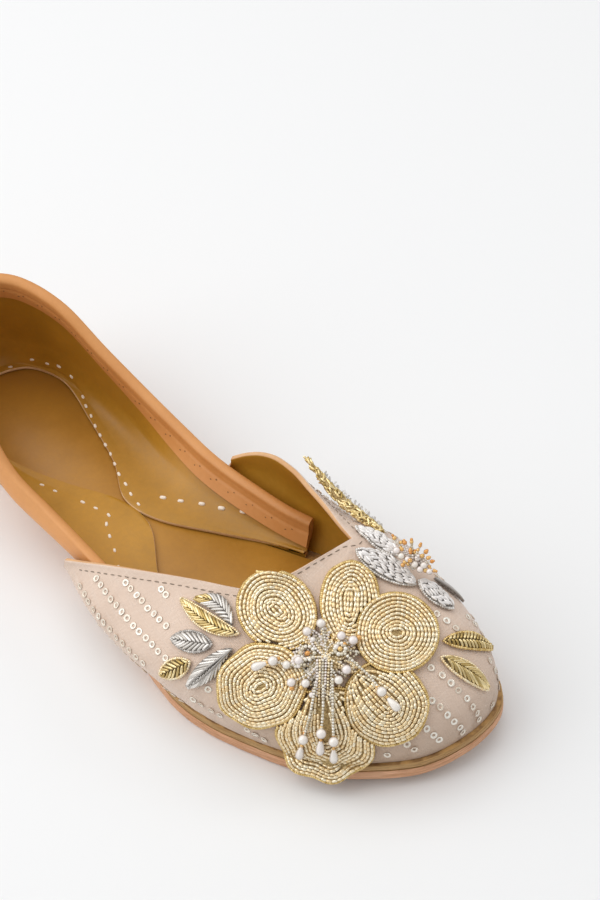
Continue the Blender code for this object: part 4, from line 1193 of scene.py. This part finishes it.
def makeCentre():
    look, shake = centreLook, random.Random(8)
    outline = [np.array(petalEdge(petalRows[0], a)) for a in turns(48)]
    parts = [padPiece(flower, (0, 0), outline, motifLook.lift, look.thick, look.dome, "goldPad")]
    strands = []
    for place in look.pearls + look.smallPearls:
        away = np.array(place)
        side = unit(np.array([-place[1], place[0]])) * shake.uniform(-1.0, 1.0)
        places = [away * t + side * sin(pi * t) for t in np.linspace(0.12, 0.9, 8)]
        strands.append(overFlower(places, 3.2 + 1.0 * np.sin(np.linspace(0.5, 2.6, 8)), 0.95))
    for _ in range(look.loose):      # the loose seeds that fill the middle
        angle, reach = shake.uniform(0, 6.28), shake.uniform(2.6, 4.8)
        bend = shake.uniform(-0.6, 0.6)
        places = [(cos(angle + bend * t) * reach * t, sin(angle + bend * t) * reach * t)
                  for t in np.linspace(0.1, 1, 6)]
        strands.append(overFlower(places, [4.1 - 0.3 * hypot(*p) for p in places], 0.85))
    filling = []
    for _ in range(look.filling):      # short rows that close the gaps between the petals
        angle, reach = shake.uniform(0, 6.28), sqrt(shake.random()) * look.fillingReach
        turn = angle + shake.uniform(-0.7, 0.7)
        places = [np.array([cos(angle), sin(angle)]) * reach + np.array([cos(turn), sin(turn)]) * t
                  for t in np.linspace(-1.9, 1.9, 5)]
        lifts = [2.9 - 0.16 * reach + shake.uniform(0, 0.3) for _ in places]
        filling.append(overFlower(places, lifts, 1.1))
    for part, finish in enumerate(("goldBead", "clearBead", "pearl")):
        parts.append(beadRow(filling[part::3], "seedBead", finish, 0.95, 0.5, 0.2, 50 + part))
    for centre, reach, finish, seed in look.rings:      # small flowers of seeds, a gold one within
        places = [(centre[0] + cos(a) * reach, centre[1] + sin(a) * reach) for a in turns(10)]
        parts.append(beadEach(pearlsAt(places, 4.0, 0.72), "pearlBead", finish, 0.4, 0.1, seed))
        parts.append(beadEach(pearlsAt([centre], 4.3, 0.85), "pearlBead", "amberBead", 0, 0, seed))
    start, end, count = look.bundle
    for k in range(count):      # the broad bundle that hangs to the lower petal
        share = k / (count - 1)
        foot = (start[0] + 4.6 * share, start[1])
        tip = (end[0] + 4.4 * share + shake.uniform(-0.3, 0.3), end[1] + shake.uniform(-2.5, 1.0))
        places = np.linspace(foot, tip, 10)
        strands.append(overFlower(places, 4.6 - 0.12 * abs(places[:, 1] + 3), 0.9))
    for part, finish in enumerate(("clearBead", "pearl", "goldBead")):
        parts.append(beadRow(strands[part::3], "seedBead", finish, 0.92, 0.4, 0.16, 3 + part))
    whites = pearlsAt(look.pearls, look.pearlLift, look.pearl) + pearlsAt(look.smallPearls,
                                                                          look.lift, 0.95)
    parts.append(beadEach(whites, "pearlBead", "pearl", 0.4, 0.06, 5))
    parts.append(beadEach(pearlsAt(look.amber, look.lift, 0.8), "pearlBead", "amberBead", 0.4, 0.1, 6))
    keep(joined("flower_centre", *parts), "gold_bead", "flower_centre")


makeCentre()

# Bead strings over the flower, each ending in a round pearl and a drop
stringRows = rowsOf(
    "start middle pearl drop",
    ((6.2, 1.0), (13.6, -5.6), (17.5, -10.4), (20.9, -14.0)),
    ((-3.3, -9.5), (-4.8, -17.5), (-7.0, -26.0), (-7.9, -30.4)),
    ((-0.7, -8.9), (-0.8, -16.0), (-1.4, -23.8), (-1.6, -28.2)),
    ((2.2, -6.8), (2.2, -16.0), (2.5, -26.4), (2.6, -31.0)),
    ((-6.6, -2.4), (-12.1, -2.4), (-16.6, -1.2), (-20.6, -2.6)),
)
stringLook = Look(lift=3.4, seed=0.6, pearl=1.7, drop=1.2, pitch=0.95)


def makeString(index, row):
    look = stringLook
    start, middle, pearl, drop = (np.array(place) for place in vars(row).values())

    def station(place, radius):
        return flower.at(*place, look.lift + (radius + motifLook.lift) / 0.75)

    line = smoothPath([station(start, look.seed), station((start + middle) / 2, look.seed),
                       station(middle, look.seed),
                       station(pearl - (pearl - middle) * 0.22, look.seed + 0.6)], 0.4)
    at, end = station(pearl, look.pearl), station(drop, look.pearl)
    neck = station(pearl - unit(drop - pearl) * 2.0, 1.0)
    name = f"pearl_string_{index}"
    keep(joined(
        name,
        beadRow([guide(line, up=flower.facing, size=1.12)], "seedBead", "clearBead", look.pitch,
                0.12, 0.08, 20 + index),
        beadRow([guide(line - np.array(flower.facing) * 0.45, up=flower.facing, size=0.8)],
                "seedBead", "pearl", 0.9, 0.2, 0.1, 30 + index),
        beadEach([guide(at, size=look.pearl)], "pearlBead", "pearl", 0.2, 0, index),
        beadEach([guide(end + (end - at) * 0.08, aim=end - at, up=flower.facing, size=look.drop)],
                 "dropBead", "pearl", 0, 0, index),
        beadEach([guide(at * 0.52 + end * 0.48, size=0.55), guide(neck, size=0.62)],
                 "pearlBead", "amberBead", 0, 0, index)), "pearl", name)


for index, row in enumerate(stringRows, 1):
    makeString(index, row)
print("centre and strings made")

# Leaves and long petals. x runs from the tip, -1, to the stem, 1, and w across, -1 to 1.
leafRows = rowsOf(
    "name ground tip stem wide bend kind wire border slant tipWire rib",
    ("side_leaf_1", flower, (-46.5, 17.3), (-27.6, 6.8), 2.5, -1.8, "slant", "goldWire", "goldBead",
     0.34, None, None),
    ("side_leaf_2", flower, (-42.2, 17.5), (-29.6, 9.3), 2.9, 3.0, "slant", "silverWire", None,
     0.5, "goldWire", None),
    ("side_leaf_3", flower, (-49.3, 4.6), (-36.2, 3.3), 3.1, 0, "slant", "silverWire", "silverCord",
     0.5, None, None),
    ("side_leaf_4", flower, (-53.2, -7.4), (-43.3, -2.4), 2.9, 0, "slant", "goldWire", "goldBead",
     0.45, None, None),
    ("side_leaf_5", flower, (-44.3, -10.9), (-29.5, 2.2), 3.5, 0, "slant", "silverWire", None,
     0.62, None, "silverCord"),
    ("silver_petal_1", crest, (10.1, 17.4), (2.0, 3.7), 2.9, 0, "chips", "silverFoil", "silverWire"),
    ("silver_petal_2", crest, (-0.2, 16.1), (-6.5, -4.4), 3.9, 0, "chips", "silverFoil",
     "silverWire"),
    ("silver_petal_3", crest, (-9.8, -18.5), (-4.6, -5.4), 3.1, 0, "chips", "silverFoil",
     "silverWire"),
    ("grey_leaf", crest, (-1.7, -23.6), (-0.9, -10.4), 0.9, 0, "long", "silverCord", None),
    ("toe_leaf_1", crest, (-13.9, -36.6), (-22.7, -17.9), 2.8, 0, "slant", "goldWire", "goldCord",
     0.14, None, None),
    ("toe_leaf_2", crest, (-29.6, -37.8), (-28.2, -18.6), 2.7, 0, "slant", "goldWire", "goldBead",
     0.55, None, None),
)
leafLook = Look(pad=0.75, dome=0.35, pitch=1.32, girth=0.45, chip=2.6, chipGirth=0.47,
                chipRow=0.86, edgePitch=0.78)


def onLeaf(row, x, w):
    tip, stem = np.array(row.tip), np.array(row.stem)
    half = (stem - tip) / 2
    along = unit(half)
    left = np.array([-along[1], along[0]])
    narrow = max(1 - x * x, 0) ** 0.75
    return (tip + stem) / 2 + half * x + left * (row.bend * (1 - x * x) + w * row.wide * narrow)


def makeLeaf(row, seed):
    look, ground, shake = leafLook, row.ground, random.Random(seed)
    over = petalRows if ground is flower else ()
    length = dist(row.stem, row.tip)
    lift = motifLook.lift
    gold = row.wire.startswith("gold")
    outline = [trimmed(over, onLeaf(row, 0, 0), onLeaf(row, cos(a), 0.96 if sin(a) > 0 else -0.96))
               for a in turns(44)]
    parts = [padPiece(ground, onLeaf(row, 0, 0), outline, lift, look.pad, look.dome,
                      "leafPad" if gold else "silverPad")]
    strokes = {}

    def stroke(start, end, highs, girth, finish, steps=7):
        line = []
        for t in np.linspace(0, 1, steps):
            x, w = start[0] + (end[0] - start[0]) * t, start[1] + (end[1] - start[1]) * t
            line.append((*onLeaf(row, x, w),
                         highs[0] + (highs[1] - highs[0]) * t + highs[2] * sin(pi * t)))
        for run, _ in visibleRuns(over, line, 0.3, False):
            points = [ground.at(u, v, lift + look.pad + high) for u, v, high in run]
            ends = np.interp(np.linspace(0, 1, len(run)), (0, 0.14, 0.86, 1), (0.55, 1, 1, 0.55))
            strokes.setdefault(finish, []).append(
                guide(points, girth=girth * ends, shade=shake.random()))

    if row.kind == "slant":
        step = 2 * look.pitch / length
        for side in (-1, 1):
            x = -0.92 + (step / 2 if side > 0 else 0)
            while x < 0.95:
                end = max(x - row.slant * (1 - 0.5 * abs(x)), -0.97)
                stroke((x, side * 0.05), (end, side * 0.92), (0.62, 0.12, 0.25),
                       look.girth * shake.uniform(0.9, 1.1),
                       row.tipWire if row.tipWire and x < -0.3 else row.wire)
                x += step * shake.uniform(0.92, 1.08)
        for side in (-1, 1) if row.rib else ():
            stroke((-0.9, 0.3 * side), (0.95, 0.06 * side), (0.9, 1.0, 0.2), 0.36, row.rib, 14)
    elif row.kind == "chips":
        for w in np.linspace(-0.86, 0.86, int(round(2 * row.wide / look.chipRow))):
            x = -0.95 + shake.uniform(0, 0.3)
            while x < 0.88:
                size = look.chip * shake.uniform(0.75, 1.2) * 2 / length
                turn = shake.uniform(-0.16, 0.16)
                stroke((x, w - turn), (min(x + size, 0.97), w + turn),
                       (0.35 + shake.uniform(0, 0.5), 0.3 + shake.uniform(0, 0.5), 0.1),
                       look.chipGirth, row.wire, 4)
                x += size * 1.08
    else:
        for w in (-0.8, -0.4, 0.0, 0.4, 0.8):
            stroke((-0.98, w * 0.4), (0.98, w), (0.3, 0.3, 0.3), 0.34, row.wire, 16)
    parts += [laidWire(guides, finish) for finish, guides in strokes.items()]
    if row.border:
        edge = [onLeaf(row, cos(a), 1.05 if sin(a) > 0 else -1.05) for a in turns(80)]
        guides = [guide([ground.at(u, v, lift + 0.55) for u, v in run], whole, up=ground.facing,
                        size=1.05) for run, whole in visibleRuns(over, edge, 0.3, True)]
        parts.append(beadRow(guides, "seedBead", row.border, look.edgePitch, 0.3, 0.12, seed))
    keep(joined(row.name, *parts), "gold_wire" if gold else "silver_wire", row.name)


for seed, row in enumerate(leafRows, 60):
    makeLeaf(row, seed)
print("leaves made")

# The spike: short pieces of gold bullion wire laid round a core, with a silver fringe beside it
spikeLook = Look(
    path=((-31.4, 178.6, 46.0), (-31.6, 170.0, 45.4), (-31.8, 161.2, 45.0), (-33.0, 150.0, 46.2),
          (-34.5, 139.5, 48.4)),
    radii=(0.9, 1.6, 1.8, 1.4, 0.3), chips=150, chip=2.6, girth=0.38, fringe=46, fringeChip=2.4,
    fringeGirth=0.36)


def makeSpike():
    look, shake = spikeLook, random.Random(21)
    spine = smoothPath(np.column_stack([look.path, look.radii]), 0.5)
    core = laidWire([guide(spine[:, :3], girth=spine[:, 3] * 0.7, shade=0.2)], "goldPad", 8)

    def piece(start, way, reach, shares, girth):
        return guide([start + way * reach * t for t in shares],
                     girth=girth * np.array([0.6, 1, 1, 0.6]), shade=shake.random())

    chips, fringe = [], []
    for _ in range(look.chips):
        k = shake.randrange(1, len(spine) - 2)
        tangent = unit(spine[k + 1, :3] - spine[k - 1, :3])
        side = unit(np.cross(tangent, upward))
        angle = shake.uniform(-0.6, pi + 0.6)
        out = side * cos(angle) + np.cross(side, tangent) * sin(angle)
        lean = shake.uniform(-0.85, 0.85)
        way = tangent * cos(lean) + np.cross(tangent, out) * sin(lean) + out * shake.uniform(0, 0.3)
        chips.append(piece(spine[k, :3] + out * spine[k, 3] * 0.85, way,
                           look.chip * shake.uniform(0.6, 1.1), (-0.5, -0.35, 0.35, 0.5), look.girth))
    for k in range(look.fringe):
        at = int(2 + (len(spine) * 0.8 - 4) * k / look.fringe)
        tangent = unit(spine[at + 1, :3] - spine[at - 1, :3])
        out = unit(np.array([-1.0, 0.05, -0.35 + shake.uniform(-0.25, 0.45)]))
        way = out * 0.8 + tangent * shake.uniform(0.1, 0.8)
        fringe.append(piece(spine[at, :3] + out * (spine[at, 3] * 0.8) - upward * 0.2, way,
                            look.fringeChip * shake.uniform(0.7, 1.3), (0, 0.15, 0.85, 1),
                            look.fringeGirth))
    keep(joined("gold_spike", core, laidWire(chips, "goldWire"), laidWire(fringe, "silverWire")),
         "gold_wire", "gold_spike")


makeSpike()

# Stamens: stalks of clear seeds with amber tips, fanned out from the small flower's middle
stamenLook = Look(
    foot=(28.2, 27.0, -12.6), depth=-9.4, pearlDepth=-9.9, amberDepth=-10.2,
    tips=((22.2, 37.0), (25.5, 35.5), (27.7, 35.8), (24.6, 33.4), (27.4, 32.9), (28.8, 32.4),
          (32.3, 32.6), (31.0, 31.2), (34.2, 29.5), (35.0, 26.5), (30.4, 34.6), (33.0, 30.6),
          (25.0, 31.0), (27.2, 29.8)),
    pearls=((28.7, 28.5), (26.4, 30.2), (31.6, 28.2), (24.4, 31.2), (29.6, 30.6), (30.4, 26.9),
            (33.4, 26.2), (22.9, 33.0)),
    amber=((25.6, 29.3), (26.6, 28.6), (24.9, 28.3), (32.2, 26.6), (33.4, 27.8)))


def makeStamens():
    look, shake = stamenLook, random.Random(33)
    foot = flower.free(*look.foot)
    stalks, tips = [], []
    for u, v in look.tips:
        tip = flower.free(u, v, look.depth + shake.uniform(-1.2, 1.0))
        middle = (foot + tip) / 2 + upward * shake.uniform(0.2, 1.0)
        stalks.append(guide(smoothPath([foot, middle, tip], 0.4), up=flower.facing, size=0.9))
        tips += [guide(tip, size=0.72), guide(tip + (tip - middle) * 0.18, size=0.5)]
        for _ in range(2):      # shorter stalks among the long ones
            reach = shake.uniform(0.45, 0.85)
            swing = np.array([shake.uniform(-1.4, 1.4) for _ in range(3)])
            end = foot + (tip - foot) * reach + swing
            stalks.append(guide(smoothPath([foot, (foot + end) / 2 + upward * 0.6, end], 0.4),
                                up=flower.facing, size=0.95))
            if reach > 0.65:
                tips.append(guide(end, size=0.55))
    whites = [guide(flower.free(*place, look.pearlDepth), size=1.15) for place in look.pearls]
    browns = [guide(flower.free(*place, look.amberDepth), size=0.7) for place in look.amber]
    keep(joined("stamens",
                beadRow(stalks[::2], "seedBead", "clearBead", 0.80, 0.25, 0.15, 9),
                beadRow(stalks[1::2], "seedBead", "pearl", 0.80, 0.25, 0.15, 17),
                beadEach(tips, "pearlBead", "amberBead", 0.3, 0.15, 10),
                beadEach(whites, "pearlBead", "pearl", 0.3, 0.1, 11),
                beadEach(browns, "pearlBead", "amberBead", 0.3, 0.2, 12)), "clear_bead", "stamens")


makeStamens()
print("spike and stamens made")

# Ring sequins in straight rows on the silk, left off under the motifs and near the edges
sequinLook = Look(rowPitch=7.2, heading=11.0, pitch=3.5, size=1.0, lift=0.10, edge=5.5, foot=3.0,
                  margin=1.0, endColumns=8, smallFlower=(-28, 196, 45), smallFlowerClear=7,
                  bareSpot=(-1.0, 25.5), bareReach=8.5)


def makeSequins():
    look = sequinLook
    columns, rows = vampFlat.shape[:2]
    flat = [Vector((*p, 0)) for p in vampFlat.reshape(-1, 2)]
    solid = [Vector(p) for p in vampOuter.reshape(-1, 3)]
    sides = [Vector(n) for n in vampNormals.reshape(-1, 3)]
    corners = []
    for c in range(columns - 1):
        for r in range(rows - 1):
            a, b = c * rows + r, (c + 1) * rows + r
            corners += [(a, b, b + 1), (a, b + 1, a + 1)]
    tree = BVHTree.FromPolygons(flat, corners)
    shares = np.array([runOf(column) for column in vampOuter])
    leaves = [(row, np.array([onLeaf(row, x, 0) for x in np.linspace(-1, 1, 15)]))
              for row in leafRows]

    def bare(point):      # whether a motif lies over this place
        place = flower.seen(point)
        if covered(petalRows, *place, look.margin) or dist(place, look.bareSpot) < look.bareReach:
            return True
        for leaf, spine in leaves:
            away = np.linalg.norm(spine - np.array(leaf.ground.seen(point)), axis=1).min()
            if away < leaf.wide + look.margin:
                return True
        return (point - Vector(look.smallFlower)).length < look.smallFlowerClear

    shake = random.Random(77)
    guides = []
    middle, reach = (flatLow + flatHigh) / 2, np.linalg.norm(flatHigh - flatLow) / 2
    turn = radians(look.heading)
    ahead, side = np.array([-sin(turn), cos(turn)]), np.array([cos(turn), sin(turn)])
    count = int(reach / look.rowPitch) + 1
    for index in range(-count, count + 1):
        start = shake.uniform(0, look.pitch) - reach
        for along in np.arange(start, reach, look.pitch):
            across = index * look.rowPitch + shake.uniform(-0.22, 0.22)
            spot = middle + side * across + ahead * (along + shake.uniform(-0.3, 0.3))
            hit, _, face, distance = tree.find_nearest(Vector((*spot, 0)))
            if distance > 0.01:
                continue
            near = corners[face]
            point = barycentric_transform(hit, *[flat[k] for k in near], *[solid[k] for k in near])
            normal = sum((sides[k] for k in near), Vector()).normalized()
            column, row = divmod(near[0], rows)
            inside = look.endColumns < column < columns - look.endColumns
            run = shares[column]
            if not inside or not look.foot < run[row] < run[-1] - look.edge or bare(point):
                continue
            guides.append(guide(np.array(point + normal * look.lift), aim=normal,
                                up=(0.3, 0.9, 0.1), size=look.size))
    keep(joined("sequins", beadEach(guides, "sequinRing", "sequin", 0.16, 0.05, 13)), "clear_bead")


makeSequins()

# Stitches: dark dashes along the throat, cream ones on the turned-in lining
stitchLook = Look(throatIn=3.0, throatPitch=2.9, throatSize=(0.36, 0.36, 0.85), ends=6,
                  small=(1.05, 1.05, 0.9), large=(1.5, 1.5, 1.2), sink=0.12, lining=10.8)
farStitches = ((-10.2, 10.1), (-18.4, 13.2), (-21.1, 18.6), (-23.3, 22.7), (-23.2, 29.6),
               (-19.6, 39.8), (-17.5, 43.9), (-15.7, 48.8), (-13.6, 53.5), (-12.0, 58.0),
               (-9.7, 62.3), (-8.4, 67.0), (-6.6, 71.7), (-4.8, 76.5), (-3.5, 81.6),
               (-1.8, 86.3), (-0.7, 91.6))
frontStitches = ((-8.8, 95.3), (-12.2, 100.7), (-16.6, 106.7), (-20.2, 112.9), (-24.5, 119.2),
                 (-28.7, 126.0), (-31.9, 132.9))
nearStitches = ((21.5, 52.4), (17.9, 61.6), (16.4, 66.9), (12.7, 77.5), (11.2, 82.7),
                (10.0, 88.2), (13.2, 90.7), (15.9, 95.5), (18.8, 101.4), (22.7, 107.9))


def makeThroatStitches():
    look = stitchLook
    line, ups = [], []
    for column, normals in zip(vampOuter, vampNormals):
        at = [runOf(column)[-1] - look.throatIn]
        line += [*resample(column, at)]
        ups += [*resample(column, at, normals)]
    line, ups = (np.array(rows)[look.ends:-look.ends] for rows in (line, ups))
    guides = [guide(line + ups * 0.05, up=ups, size=look.throatSize)]
    dashes = beadRow(guides, "stitchBar", "darkThread", look.throatPitch, 0.08, 0.1, 14)
    keep(joined("throat_stitches", dashes), "silk")


def makeLiningStitches():
    mesh = quarter.data
    tree = BVHTree.FromPolygons([Vector(np.array(v.co) / mm + boxCentre) for v in mesh.vertices],
                                [tuple(p.vertices) for p in mesh.polygons])

    def onLining(x, y):      # where the line of sight through this place meets the lining
        spot = Vector((x, y, stitchLook.lining))
        hit, normal, *_ = tree.ray_cast(spot + sight * 9, -sight)
        if hit is None:
            hit, normal, *_ = tree.find_nearest(spot)
        return np.array(hit), np.array(normal if normal.dot(sight) > 0 else -normal)

    guides = []
    for places, size in ((farStitches, "small"), (nearStitches, "small"), (frontStitches, "large")):
        spots = [onLining(x, y) for x, y in places]
        for k, (point, normal) in enumerate(spots):
            ahead = spots[min(k + 1, len(spots) - 1)][0] - spots[max(k - 1, 0)][0]
            guides.append(guide(point - normal * stitchLook.sink, aim=ahead, up=normal,
                                size=stitchLook[size]))
    keep(joined("lining_stitches", beadEach(guides, "stitchBar", "creamThread", 0.10, 0.1, 15)),
         "silk")


# Needle holes in zigzag pairs, down inside the binding: flat dark discs, painted shade for the inside
# of each hole
holeLook = Look(pitch=8.0, pair=2.2, depths=(4.4, 5.6), start=6.0, size=1.0)


def needleHoles():
    look = holeLook
    run = runOf(quarterInner[:, 4])
    shift = bindingLook.gap + bindingLook.thick + bindingLook.pillow
    guides = []
    for base in np.arange(look.start, run[-1] - look.start, look.pitch):
        for k, depth in enumerate(look.depths):
            s = base + k * look.pair
            c = int(np.clip(np.searchsorted(run, s), 1, len(run) - 1))
            share = (s - run[c - 1]) / (run[c] - run[c - 1])
            before, after = (resample(quarterInner[i], [depth])[0] for i in (c - 1, c))
            normal = quarterNormals[c, 3]
            guides.append(guide(before * (1 - share) + after * share - normal * shift, aim=normal,
                                up=upward, size=look.size))
    return beadEach(guides, "needleDisc", "needleHole", 0.1, 0.15, 16)


makeThroatStitches()
makeLiningStitches()
keep(joined("collar_binding", binding, needleHoles()), "binding_leather", "collar_binding")
print("sequins and stitches made")

for bead in beads.values():
    bpy.data.objects.remove(bead)
